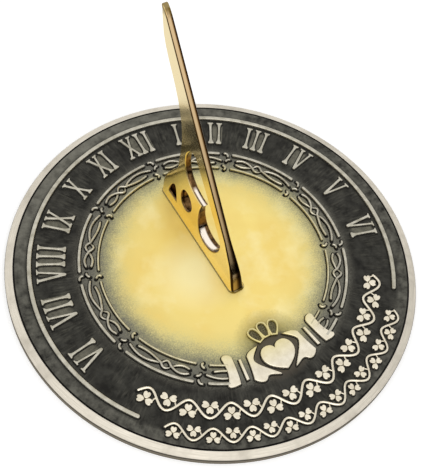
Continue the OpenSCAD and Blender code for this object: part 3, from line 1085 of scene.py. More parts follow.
@dataclass(frozen=True)
class PolishedBrass:
    """Yellow brass with buffed faces, whose narrow faces carry painted reflections: brown and black on the
    style and in the openings, bright on the sills.
    """

    name: str = "polished_brass_gnomon"
    colour: str = "F4E0A0"
    deep: str = "E9CC80"
    # The openings' walls in painted dark reflections, and their sills in a painted highlight
    wall: str = "7A5C3A"
    wall_reflection_dark: str = "33220F"
    painted_sill_highlight: str = "FFF4E4"
    # The upper blade is paler, a painted sheen, and its very tip is dull
    upper: str = "FFECBA"
    upper_sheen_from: Span = (58, 84)
    tip: str = "7A6636"
    tip_from: Span = (139.5, 143.5)
    joint: str = "6A5A22"
    # The style's painted reflections across it, from west to east, low down and near the tip: dark lines
    # along its edges, brown between, and a painted glint on the east edge low down
    style_reflection_low: tuple[Stop, ...] = (
        (0.0, "E9CC80"), (0.04, "2A1A08"), (0.13, "2A1A08"), (0.2, "A8906A"), (0.4, "9C8560"),
        (0.52, "5A4427"), (0.64, "1E1206"), (0.88, "1E1206"), (0.97, "FFE9A6"),
    )
    style_reflection_high: tuple[Stop, ...] = (
        (0.0, "E9CC80"), (0.04, "4A340F"), (0.12, "4A340F"), (0.2, "D9BC90"), (0.52, "D9BC90"),
        (0.62, "8E6C42"), (0.72, "2A1706"), (0.92, "2A1706"), (1.0, "C8AC74"),
    )
    # How far the style's painted reflection reaches behind it, and how much further at the very toe
    style_depth: float = 1.1
    toe_depth: float = 4.8
    # Heights between which the style's painted reflection changes from low to high
    style_zone: Span = (15, 110)
    # Hand buffing leaves the faces wavy over a few centimetres, with fine hairlines
    waves: Patches = Patches(22, 1, 0.4)
    hairlines: Patches = Patches(1.2, 5, 0.7)
    hairline_depth: float = 0.012
    stains: Patches = Patches(4, 4, 0.6, (0.4, 0.62))

    def build(self, gnomon: "Gnomon") -> bpy.types.Material:
        """Makes the material for a gnomon of these sizes.

        Args:
            gnomon: The gnomon, for its sizes.

        Returns:
            The material.
        """
        material, add = new_material(self.name)
        place = add("TexCoord").outputs["Object"]
        x, y, z = add("SeparateXYZ", place).outputs
        height = add("Math", z, FIELD_Z * MM, operation="SUBTRACT")
        across = add("Math", x, gnomon.middle_x * MM, operation="SUBTRACT")
        half = self.half_width(add, height, gnomon)
        slope = 1 / math.tan(math.radians(gnomon.latitude))
        line_y = add("Math", height, slope, operation="MULTIPLY")
        behind = add("Math", y, line_y, operation="SUBTRACT")
        behind = add("Math", behind, gnomon.style_foot * MM, operation="ADD")
        hairlines = self.hairlines.plain(add, place)
        # The faces, whose upper part is paler with a painted sheen
        buffed = add("MapRange", hairlines, 0.3, 0.7)
        buffed = add("Mix", buffed, self.colour, self.deep)
        upper = add("MapRange", height, *metres(*self.upper_sheen_from), 0, 0.9)
        buffed = add("Mix", upper, buffed, self.upper)
        # Inside the openings the walls get painted dark reflections in brown: between the faces,
        # behind the style and below the top of the window
        brown = add("Mix", self.stains.over(add, place), self.wall, self.wall_reflection_dark)
        off_centre = add("Math", across, operation="ABSOLUTE")
        inside = add("Math", half, off_centre, operation="SUBTRACT")
        in_wall = self.limited(add, ((inside, 0.2, 0.6), (behind, 3, 5), (height, 76, 74)))
        # The sills, which face up, get a painted highlight where they mirror the sky
        normal = add("NewGeometry").outputs["Normal"]
        upward = add("SeparateXYZ", normal).outputs[2]
        ragged = add("MapRange", hairlines, 0.2, 0.8, -0.12, 0.12)
        ragged = add("Math", upward, ragged, operation="ADD")
        facing_up = add("MapRange", ragged, 0.48, 0.72)
        reached = self.limited(add, ((inside, 0.8, 1.5), (across, 1.1, 0.3), (y, 1, 2.5), (y, 35, 32.5)))
        brown = add("Mix", all_of(add, facing_up, reached), brown, self.painted_sill_highlight)
        colour = add("Mix", in_wall, buffed, brown)
        # At the toe the front curves back from the style's line, and the painted reflection goes with it
        depths = metres(self.style_depth, self.style_depth + self.toe_depth)
        reach = add("MapRange", height, gnomon.toe_rise * MM, 1 * MM, *depths)
        reach = add("Math", reach, behind, operation="SUBTRACT")
        on_style = add("MapRange", reach, *metres(-0.2, 0.2))
        style = self.style_reflection(add, across, half, height)
        colour = add("Mix", on_style, colour, style)
        dulled = add("Math", hairlines, 3 * MM, operation="MULTIPLY")
        dulled = add("Math", height, dulled, operation="ADD")
        dulled = add("MapRange", dulled, *metres(*self.tip_from), 0, 0.85)
        colour = add("Mix", dulled, colour, self.tip)
        at_joint = add("MapRange", height, *metres(gnomon.foot_h - 0.15, gnomon.foot_h + 0.15), 1, 0)
        colour = add("Mix", at_joint, colour, self.joint)
        bump = add("Math", hairlines, self.hairline_depth, operation="MULTIPLY")
        bump = add("Math", self.waves.plain(add, place), bump, operation="ADD")
        roughness = add("MapRange", hairlines, 0.3, 0.75, 0.1, 0.2)
        surfaced(add, colour, 1.0, roughness, {"Height": bump, "Distance": 0.35 * MM, "Strength": 0.5})
        return material

    def limited(self, add: Adder, limits: Sequence[tuple[Source, float, float]]) -> Source:
        """Gives the zone inside several limits.

        Args:
            add: What adds a node to the tree.
            limits: Each a measure, where the zone starts on it and where it is full.

        Returns:
            The share of the zone, from 0 to 1.
        """
        return all_of(add, *[add("MapRange", v, *metres(a, b)) for v, a, b in limits])

    def half_width(self, add: Adder, height: Source, gnomon: "Gnomon") -> bpy.types.Node:
        """Gives half the blade's thickness at a height, in metres.

        Args:
            add: What adds a node to the tree.
            height: The height above the field.
            gnomon: The gnomon, for its sizes.

        Returns:
            Half the thickness.
        """
        # Between these two levels the blade thins about evenly
        (low_z, low), (high_z, high) = gnomon.half_widths[3], gnomon.half_widths[-3]
        return add("MapRange", height, *metres(low_z, high_z, low, high))

    def style_reflection(self, add: Adder, across: Source, half: Source, height: Source) -> bpy.types.Node:
        """Paints the style's reflections across its width, warmer and paler towards the tip.

        Args:
            add: What adds a node to the tree.
            across: The distance from the blade's middle plane.
            half: Half the blade's thickness there.
            height: The height above the field.

        Returns:
            The colour.
        """
        whole = add("Math", half, 2.0, operation="MULTIPLY")
        share = add("Math", across, whole, operation="DIVIDE")
        share = add("Math", share, 0.5, operation="ADD")
        ramps = [
            set_stops(add("ValToRGB", share), stops) for stops in (self.style_reflection_low, self.style_reflection_high)
        ]
        upward = add("MapRange", height, *metres(*self.style_zone))
        return add("Mix", upward, *ramps)


@dataclass(frozen=True)
class ZincPlatedSteel:
    """Zinc plated fasteners: bright grey with a faint bloom."""

    name: str = "zinc_plated_steel"
    colour: str = "C9CAC8"
    bloom: str = "9FA2A3"
    patches: Patches = Patches(1.5)

    def build(self) -> bpy.types.Material:
        """Makes the material.

        Returns:
            The material.
        """
        material, add = new_material(self.name)
        place = add("TexCoord").outputs["Object"]
        patches = self.patches.plain(add, place)
        share = add("MapRange", patches, 0.35, 0.65)
        colour = add("Mix", share, self.colour, self.bloom)
        roughness = add("MapRange", patches, 0.3, 0.7, 0.25, 0.42)
        surfaced(add, colour, 1.0, roughness, {"Height": patches, "Distance": 0.05 * MM, "Strength": 0.3})
        return material


# The dial plate


@dataclass
class DialPlate:
    """The casting itself: field, bevelled rim, foot ring and tapped bosses."""

    radius: float = 130
    web: float = 3
    bevel_w: float = 5
    bevel_drop: float = 1.8
    foot_ring_w: float = 7
    foot_draft: float = 1
    edge_chamfer: float = 0.5
    groove_w: float = 1
    groove_depth: float = 0.6
    boss_circle_r: float = 75
    boss_r: float = 8
    boss_hole_r: float = 3
    boss_hole_depth: float = 5.4
    boss_angles: tuple[float, ...] = (0, 120, 240)
    screw_spots: tuple[Point, ...] = ((2.3, -13), (2.3, 27.3))
    screw_hole_r: float = 1.75
    turn_steps: int = 288

    def profile(self) -> list[Point]:
        """Gives the half section from the middle of the underside round to the field.

        Returns:
            Points as radius and height.
        """
        under = FIELD_Z - self.web
        foot_r = self.radius - self.foot_ring_w
        shoulder = FIELD_Z - self.bevel_drop
        bevel_r = self.radius - self.bevel_w
        slope = self.groove_w / 4
        # Small breaks at the turned edges
        break_w = 0.35
        return [
            (0, under),
            (foot_r - self.foot_draft - break_w, under),
            (foot_r - self.foot_draft, under - break_w),
            (foot_r, break_w / 2),
            (foot_r + break_w, 0),
            (self.radius - self.edge_chamfer, 0),
            (self.radius, self.edge_chamfer),
            (self.radius, shoulder - break_w),
            (self.radius - break_w / 2, shoulder - break_w / 4),
            (self.radius - 2 * break_w, shoulder + break_w),
            (bevel_r + 2 * break_w, FIELD_Z - break_w),
            (bevel_r + break_w, FIELD_Z - break_w / 4),
            (bevel_r, FIELD_Z),
            (bevel_r - slope, FIELD_Z - self.groove_depth),
            (bevel_r - self.groove_w + slope, FIELD_Z - self.groove_depth),
            (bevel_r - self.groove_w, FIELD_Z),
            (0, FIELD_Z),
        ]

    def rod(self, name: str, at: Point, radius: float, low: float, high: float) -> Piece:
        """Makes an upright rod: a boss before it is joined, or a drill.

        Args:
            name: The new piece's name.
            at: Its middle.
            radius: Its radius.
            low: The height of its foot.
            high: The height of its top.

        Returns:
            The rod.
        """
        sides = 48
        turns = [math.tau * i / sides for i in range(sides)]
        ring = [(at[0] + radius * math.cos(t), at[1] + radius * math.sin(t), low) for t in turns]
        return prism(name, ring, (0, 0, high - low))

    def build(self, material: bpy.types.Material) -> None:
        """Makes the plate, joins its bosses and drills it.

        Args:
            material: Its finish.
        """
        plate = spun("plate", self.profile(), self.turn_steps)
        overlap = 0.3
        spots = [dial_point(self.boss_circle_r, angle) for angle in self.boss_angles]
        under = FIELD_Z - self.web
        bosses = [self.rod("boss", spot, self.boss_r, 0, under + overlap) for spot in spots]
        combined(plate, joined("bosses", bosses), "UNION")
        drills = [
            self.rod("drill", spot, self.boss_hole_r, -overlap, self.boss_hole_depth)
            for spot in spots
        ]
        drills += [
            self.rod("drill", spot, self.screw_hole_r, under - overlap, FIELD_Z + overlap)
            for spot in self.screw_spots
        ]
        combined(plate, joined("drills", drills), "DIFFERENCE")
        finished(plate, "dial_plate", material)


@dataclass
class HourBand:
    """The raised band outside the numerals."""

    radius: float = 115
    width: float = 2.7
    rise: float = 1.6
    reach: float = 127
    edge: float = 0.7
    steps: int = 150

    def build(self, material: bpy.types.Material) -> None:
        """Makes the band.

        Args:
            material: Its finish.
        """
        path = arc(self.radius, -self.reach, self.reach, self.steps)
        outline = ribbon_outline(path, self.width, 8)
        band = relief("hour_band", outline, self.rise, rounded_edge(self.edge))
        finished(band, "dial_plate", material)


class Letter(Enum):
    """The three letters in which the hours are written."""

    ONE = "I"
    FIVE = "V"
    TEN = "X"


@dataclass
class Numerals:
    """The hours from six to six in Roman letters, their feet towards the centre."""

    foot_r: float = 92.8
    height: float = 18
    rise: float = 1.5
    edge: float = 0.45
    latitude: float = 51.5
    # The hour lines meet this far south of the centre, and noon is this wide
    origin_south: float = 21.5
    noon_gap: float = 3
    middle_r: float = 101.8
    # Counted from noon
    hours: range = range(-6, 7)
    # Degrees that each letter takes up on the dial
    advance: dict[Letter, float] = field(
        default_factory=lambda: {Letter.ONE: 3.2, Letter.FIVE: 6.0, Letter.TEN: 5.4}
    )

    def stroke_outline(self, letter: Letter) -> list[Point]:
        """Draws a letter upright, its foot at the origin.

        Args:
            letter: The letter.

        Returns:
            The outline.
        """
        h = self.height
        if letter is Letter.ONE:
            half = [
                (1.5, 0), (2.0, 0.5), (1.95, 1.2), (1.35, 2.0), (0.95, 3.4), (0.78, 6),
                (0.74, h / 2), (0.8, h - 4), (1.0, h - 1.9), (1.5, h - 1.15), (2.05, h - 0.8), (2.05, h),
            ]
            return [*half, *mirrored(half)[::-1]]
        if letter is Letter.FIVE:
            return [
                (0.55, -0.2), (1.0, 0.5), (3.55, h - 1.6), (4.1, h - 1.0), (5.1, h - 0.85), (5.1, h),
                (1.3, h), (1.3, h - 0.85), (2.1, h - 1.1), (2.2, h - 1.8), (0.35, 4.6),
                (0.05, 4.6), (-2.1, h - 1.8), (-2.0, h - 1.1), (-1.3, h - 0.85), (-1.3, h),
                (-5.1, h), (-5.1, h - 0.85), (-4.3, h - 1.0), (-3.9, h - 1.6), (-0.95, 0.4), (-0.45, -0.2),
            ]
        return [
            (0.8, h / 2 - 0.1), (3.4, 2.3), (4.1, 1.5), (4.9, 1.1), (4.9, 0), (1.2, 0),
            (1.1, 1.0), (1.8, 1.6), (1.7, 2.3), (0, h / 2 - 2.0), (-1.85, 2.3), (-1.95, 1.5),
            (-1.3, 1.0), (-1.3, 0), (-4.8, 0), (-4.8, 1.1), (-4.0, 1.5), (-3.3, 2.3),
            (-0.95, h / 2), (-3.1, h - 2.0), (-3.6, h - 1.2), (-4.3, h - 0.85), (-4.3, h), (-1.0, h),
            (-1.0, h - 0.85), (-1.5, h - 1.3), (-1.4, h - 2.0), (0, h / 2 + 1.9),
            (1.5, h - 2.0), (1.6, h - 1.3), (1.0, h - 0.85), (1.0, h), (4.3, h), (4.3, h - 0.85),
            (3.6, h - 1.2), (3.0, h - 2.0),
        ]

    def hour_angle(self, hours: int) -> float:
        """Gives the angle of an hour's numeral.

        The hour lines run out from the style's own origin, south of the centre, so the
        angle about the centre is found where a line meets the numerals' middle circle.

        Args:
            hours: The hour, counted from noon.

        Returns:
            The angle.
        """
        if hours == 0:
            return 0.0
        side = 1 if hours > 0 else -1
        # The sun moves 15 degrees in an hour
        turn = math.radians(15 * abs(hours))
        line = math.atan2(math.sin(math.radians(self.latitude)) * math.sin(turn), math.cos(turn))
        start = Vector((self.noon_gap, -self.origin_south))
        along = Vector((math.sin(line), math.cos(line)))
        back = start.dot(along)
        length = -back + math.sqrt(back * back - start.length_squared + self.middle_r**2)
        x, y = start + along * length
        return side * math.degrees(math.atan2(x, y))

    def worn_ground(self) -> list[Span]:
        """Gives the first and last angle of the ground between each hour's outer strokes.

        Returns:
            The two angles of each hour that has several letters.
        """
        spans = []
        for hours in self.hours:
            letters = self.letters_of(hours)
            if len(letters) > 1:
                half = sum(self.advance[letter] for letter in letters) / 2
                middle = self.hour_angle(hours)
                first = middle - half + self.advance[letters[0]] / 2
                last = middle + half - self.advance[letters[-1]] / 2
                spans.append((first, last))
        return spans

    def letters_of(self, hours: int) -> list[Letter]:
        """Spells an hour, counted from noon, in Roman letters."""
        words = "XII I II III IV V VI VII VIII IX X XI".split()
        return [Letter(sign) for sign in words[hours % 12]]

    def build(self, material: bpy.types.Material) -> None:
        """Makes each letter once and sets copies of it round the dial.

        Args:
            material: Its finish.
        """
        patterns = {
            letter: relief("letter", self.stroke_outline(letter), self.rise, rounded_edge(self.edge))
            for letter in Letter
        }
        for hours in self.hours:
            letters = self.letters_of(hours)
            width = sum(self.advance[letter] for letter in letters)
            angle = self.hour_angle(hours) - width / 2
            strokes = []
            for letter in letters:
                middle = angle + self.advance[letter] / 2
                spot = (*dial_point(self.foot_r, middle), 0)
                strokes.append(copied(patterns[letter], "stroke", middle, spot))
                angle += self.advance[letter]
            name = f"hour_{hours + 12:02d}"
            finished(joined(name, strokes), "dial_plate", material)
        discarded(*patterns.values())


@dataclass
class KnotBorder:
    """The interlaced border: panels of two strands between two lines, and their joints."""

    radius: float = 78.6
    line_gap: float = 11.8
    outer_w: float = 1.8
    inner_w: float = 1.2
    strand_w: float = 1.65
    swing: float = 2.5
    rise: float = 1.9
    panel_reach: float = 29.2
    step: float = 36
    edge: float = 0.45
    # First and last angle of each of a strand's loops, and the side it swings to
    loops: tuple[tuple[float, float, int], ...] = ((-14.5, -4.4, 1), (-4.4, 0.4, -1), (0.4, 17, 1))
    # A strand's side, first and last angle, and where it dives under the other one
    runs: tuple[tuple[int, float, float, float], ...] = ((1, -12.8, 16.4, 0.4), (-1, -12.8, 13, -4.4))
    dive: float = 1.25
    dive_reach: float = 1.5
    # Loops at the joints, as distance from the middle line and angle
    joint_loops: tuple[tuple[Point, ...], ...] = (
        ((6.6, -1.2), (6.4, 0.2), (5, 1), (3.6, 1.1)),
        ((-0.4, 0.3), (0.8, 0.6), (1.7, 1.4), (1.9, 2.6)),
        ((-3.4, -1.2), (-4.6, 0.1), (-6, 0.4), (-7.2, -0.4)),
    )

    def offset(self, angle: float) -> float:
        """Gives a strand's distance from the middle line.

        Args:
            angle: The angle within the panel.

        Returns:
            The distance, positive outwards.
        """
        for start, end, side in self.loops:
            if start <= angle < end:
                return side * self.swing * math.sin(math.pi * (angle - start) / (end - start))
        return 0.0

    def strand_path(self, side: int, start: float, end: float, under: float) -> list[Place]:
        """Gives a strand's points, sunk where it dives under the other strand.

        Args:
            side: 1 for the strand that starts outwards, -1 for the other.
            start: Its first angle.
            end: Its last angle.
            under: Where it dives.

        Returns:
            The points, with how far they lie below the usual height.
        """
        steps = max(6, round(abs(end - start) / 0.5))
        path = []
        for i in range(steps + 1):
            angle = start + (end - start) * i / steps
            sunk = self.dive * math.exp(-(((angle - under) / self.dive_reach) ** 2))
            path.append((*dial_point(self.radius + side * self.offset(angle), angle), -sunk))
        return path

    def panel(self, name: str, start: float, end: float) -> Piece:
        """Makes a stretch of a panel that is centred on noon.

        Args:
            name: The new piece's name.
            start: The angle from which it is made.
            end: The angle up to which it is made.

        Returns:
            The stretch, with its lines and strands.
        """
        half = self.panel_reach / 2
        first, last = max(start, -half), min(end, half)
        steps = max(4, round(last - first))
        parts = []
        for radius, width in (
            (self.radius + self.line_gap / 2, self.outer_w),
            (self.radius - self.line_gap / 2, self.inner_w),
        ):
            outline = ribbon_outline(arc(radius, first, last, steps), width)
            parts.append(relief("line", outline, self.rise, rounded_edge(self.edge)))
        for side, low, high, under in self.runs:
            low, high = max(low, start), min(high, end)
            path = self.strand_path(side, low, high, under)
            parts.append(strand("strand", path, self.strand_w, self.rise))
            parts.append(cord_foot("strand_foot", path, self.strand_w))
        return joined(name, parts)

    def joint(self, name: str) -> Piece:
        """Makes the small crossed loops between two panels, centred on noon.

        Args:
            name: The new piece's name.

        Returns:
            The loops.
        """
        parts = []
        for loop in self.joint_loops:
            line = smoothed([dial_point(self.radius + away, angle) for away, angle in loop], 5)
            path = [(x, y, 0.0) for x, y in line]
            parts.append(strand("loop", path, self.strand_w, self.rise))
            parts.append(cord_foot("loop_foot", path, self.strand_w))
        return joined(name, parts)

    def build(self, material: bpy.types.Material) -> None:
        """Makes the panels and joints, and the ends that run up to the claddagh.

        Args:
            material: Its finish.
        """
        panel = self.panel("panel_pattern", -90, 90)
        joint = self.joint("joint_pattern")
        # Eight whole panels, with a joint at either end of each
        panel_turns = [self.step * (i + 0.5) for i in range(-4, 4)]
        joint_turns = [self.step * i for i in range(-4, 5)]
        for name, pattern, turns in (("panel", panel, panel_turns), ("joint", joint, joint_turns)):
            for number, turn in enumerate(turns, 1):
                piece = copied(pattern, f"knot_{name}_{number}", turn)
                finished(piece, "dial_plate", material)
        # The last panel on either side is cut off by the claddagh's cuff
        last = self.step * 4.5
        for side, span in (("east", (-self.panel_reach / 2, -6.2)), ("west", (6.6, 16.4))):
            end = self.panel("end_pattern", *span)
            piece = copied(end, f"knot_end_{side}", last if side == "east" else -last)
            finished(piece, "dial_plate", material)
            discarded(end)
        discarded(panel, joint)


@dataclass
class Claddagh:
    """A heart held by two hands under a crown, with cuffs at the wrists."""

    notch_y: float = 69.6
    # It was set a little east of the noon line
    shift_x: float = 1.3
    heart_half_w: float = 10.9
    heart_len: float = 15.2
    heart_rise: float = 2.1
    hands_rise: float = 1.8
    edge: float = 0.6
    petal_foot: float = 2.2
    petal_head: float = 3.9
    petal_len: float = 11
    petal_lean: float = 21
    petal_wall: float = 1.15
    crown_foot_y: float = 8.2
    crown_arc: float = 12
    hand_curves: tuple[tuple[Point, ...], ...] = (
        ((8.8, 6.2), (12, 6.2), (17, 5.6), (18.4, 2.9)),
        ((18.4, 2.9), (19.2, -2), (20.4, -7.5), (22, -12.1)),
        ((22, -12.1), (20.5, -14.8), (17, -17.4), (14.4, -15.2)),
        ((14.4, -15.2), (12.5, -12), (9.5, -15), (5.4, -16.4)),
        ((5.4, -16.4), (3.6, -16.2), (12.4, -9), (15.4, -2.9)),
        ((15.4, -2.9), (16.8, 0), (13, 2.4), (8.8, 6.2)),
    )
    wrist_bar: tuple[Point, ...] = ((22.3, 3.4), (24, 3.4), (26.3, -10.4), (24.4, -10.4))
    cuff_curves: tuple[tuple[Point, ...], ...] = (
        ((26.6, 6.4), (27, 10.2), (32.6, 11.6), (32.8, 8)),
        ((32.8, 8), (32.8, 2), (33.6, -4), (37.8, -7.9)),
        ((37.8, -7.9), (38.4, -10.8), (34, -10.9), (30.4, -10.8)),
        ((30.4, -10.8), (29.4, -8), (28, -3), (26.6, 6.4)),
    )

    def placed(self, outline: Sequence[Point]) -> list[Point]:
        """Moves an outline drawn about the heart's notch to its place on the dial."""
        return [(x + self.shift_x, y - self.notch_y) for x, y in outline]

    def heart_outline(self) -> list[Point]:
        """Draws the heart about its notch.

        Returns:
            The outline.
        """
        w, h = self.heart_half_w, self.heart_len
        curves = (
            ((0, 0), (w * 0.05, h * 0.16), (w * 0.22, h * 0.23), (w * 0.48, h * 0.23)),
            ((w * 0.48, h * 0.23), (w * 0.82, h * 0.23), (w, 0), (w, -h * 0.22)),
            ((w, -h * 0.22), (w, -h * 0.55), (w * 0.55, -h * 0.8), (0, -h)),
        )
        half = chained(curves, 12)
        return [*half, (0, -h), *mirrored(half[1:])[::-1]]

    def petal_outline(self, inset: float) -> list[Point]:
        """Draws a petal of the crown, its foot at the origin.

        Args:
            inset: How far the outline lies inside the petal's own.

        Returns:
            The outline.
        """
        foot, head = self.petal_foot - inset, self.petal_head - inset
        length = self.petal_len - inset
        curves = (
            ((-foot, inset), (-head, length * 0.5), (-head * 1.2, length), (0, length)),
            ((0, length), (head * 1.2, length), (head, length * 0.5), (foot, inset)),
        )
        return [*chained(curves, 10), (foot, inset)][::-1]

    def petal(self, name: str) -> Piece:
        """Makes a petal: a rounded wall about a sunk face.

        Args:
            name: The new piece's name.

        Returns:
            The petal.
        """
        top, wall = self.hands_rise, self.petal_wall
        levels = (
            (0, -ROOT), (0, top - 0.45), (0.15, top - 0.15), (0.45, top), (0.75 * wall, top),
            (wall, top - 0.3), (wall + 0.2, top - 1.45),
        )
        rings = []
        for inset, height in levels:
            rings.append([(x, y, FIELD_Z + height) for x, y in self.petal_outline(inset)])
        return lofted(name, rings)

    def build(self, metal: bpy.types.Material, pale: bpy.types.Material) -> None:
        """Makes the heart, the hands, the wrists and the crown.

        Args:
            metal: The finish of the crown.
            pale: The lighter finish of the heart, hands and cuffs.
        """
        crowned = [*rounded_edge(self.edge), Step(1.4, 0.22), Step(1.6, 0.12)]
        heart = relief("heart", self.placed(self.heart_outline()), self.heart_rise + 0.3, crowned)
        finished(heart, "dial_plate", pale)
        edge = rounded_edge(self.edge)
        bar_edge = rounded_edge(self.edge * 0.7)
        shapes = {
            "hand": (chained(self.hand_curves, 10), edge),
            "wrist_bar": (self.wrist_bar, bar_edge),
            "cuff": (chained(self.cuff_curves, 10), edge),
        }
        for side in ("east", "west"):
            for name, (outline, steps) in shapes.items():
                shape = outline if side == "east" else mirrored(outline)
                piece = relief(f"{name}_{side}", self.placed(shape), self.hands_rise, steps)
                finished(piece, "dial_plate", pale)
        petal = self.petal("petal_pattern")
        fan_y = self.crown_foot_y - self.crown_arc - self.notch_y
        petals = []
        for lean in (-self.petal_lean, 0, self.petal_lean):
            x, y = dial_point(self.crown_arc, lean)
            petals.append(copied(petal, "petal", lean, (x + self.shift_x, y + fan_y, 0)))
        discarded(petal)
        finished(joined("crown", petals), "dial_plate", metal)


@dataclass
class VineRow:
    """A running vine with three-lobed leaves, which fills the southern part of the field."""

    name: str
    radius: float
    swing: float
    reach: float
    lobe_len: float
    stem_w: float
    bends: int = 16
    rise: float = 1.5
    edge: float = 0.45
    # How far a leaf stands from the row's middle line, as a share of the stem's swing
    leaf_shift: float = 0.55
    lobe_turns: tuple[float, ...] = (-105, 0, 105)
    # How far the leaf stalks lie below the stem
    stalk_sunk: float = 0.3

    def lobe_outline(self) -> list[Point]:
        """Draws one heart-shaped lobe of a leaf, its stalk end at the origin.

        Returns:
            The outline.
        """
        half_curves = (
            ((0, 0.06), (0.3, 0.2), (0.48, 0.42), (0.44, 0.74)),
            ((0.44, 0.74), (0.38, 1.02), (0.1, 1.06), (0, 0.84)),
        )
        half = chained(half_curves, 6)
        outline = [*half, (0, 0.84), *mirrored(half[1:])[::-1]]
        return [(x * self.lobe_len, y * self.lobe_len) for x, y in outline]

    def leaf(self) -> Piece:
        """Makes a leaf: three lobes about one stalk end.

        Returns:
            The leaf, its stalk end at the origin.
        """
        lobe = relief("lobe", self.lobe_outline(), self.rise, [*rounded_edge(self.edge), Step(0.6, -0.15)])
        parts = [copied(lobe, "lobe", turn) for turn in self.lobe_turns]
        discarded(lobe)
        return joined("leaf_pattern", parts)

    def stem_point(self, share: float) -> Point:
        """Gives the point of the stem at a share of its length."""
        radius = self.radius + self.swing * math.sin(math.pi * self.bends * share)
        return dial_point(radius, self.angle_at(share))

    def angle_at(self, share: float) -> float:
        """Gives the angle at a share of the stem's length."""
        return 180 - self.reach + 2 * self.reach * share

    def build(self, material: bpy.types.Material) -> None:
        """Makes the stem, and for each bend a stalk that curls in to a leaf.

        Args:
            material: Its finish.
        """
        steps = self.bends * 12
        line = [(*self.stem_point(i / steps), 0.0) for i in range(steps + 1)]
        parts = [strand("stem", line, self.stem_w, self.rise), cord_foot("stem_foot", line, self.stem_w)]
        leaf = self.leaf()
        for bend in range(self.bends):
            side = 1 if bend % 2 == 0 else -1
            middle = self.angle_at((bend + 0.5) / self.bends)
            leaf_r = self.radius - side * self.swing * self.leaf_shift
            curl_r = self.radius - side * self.swing * 0.8
            curl = dial_point(curl_r, self.angle_at((bend + 0.27) / self.bends))
            foot, head = self.stem_point((bend + 0.06) / self.bends), dial_point(leaf_r, middle)
            line = [(x, y, -self.stalk_sunk) for x, y in smoothed([foot, curl, head], 5)]
            parts.append(strand("stalk", line, 0.65 * self.stem_w, self.rise))
            parts.append(copied(leaf, "leaf", middle + (0 if side > 0 else 180), (*head, 0)))
        discarded(leaf)
        finished(joined(self.name, parts), "dial_plate", material)


# The gnomon


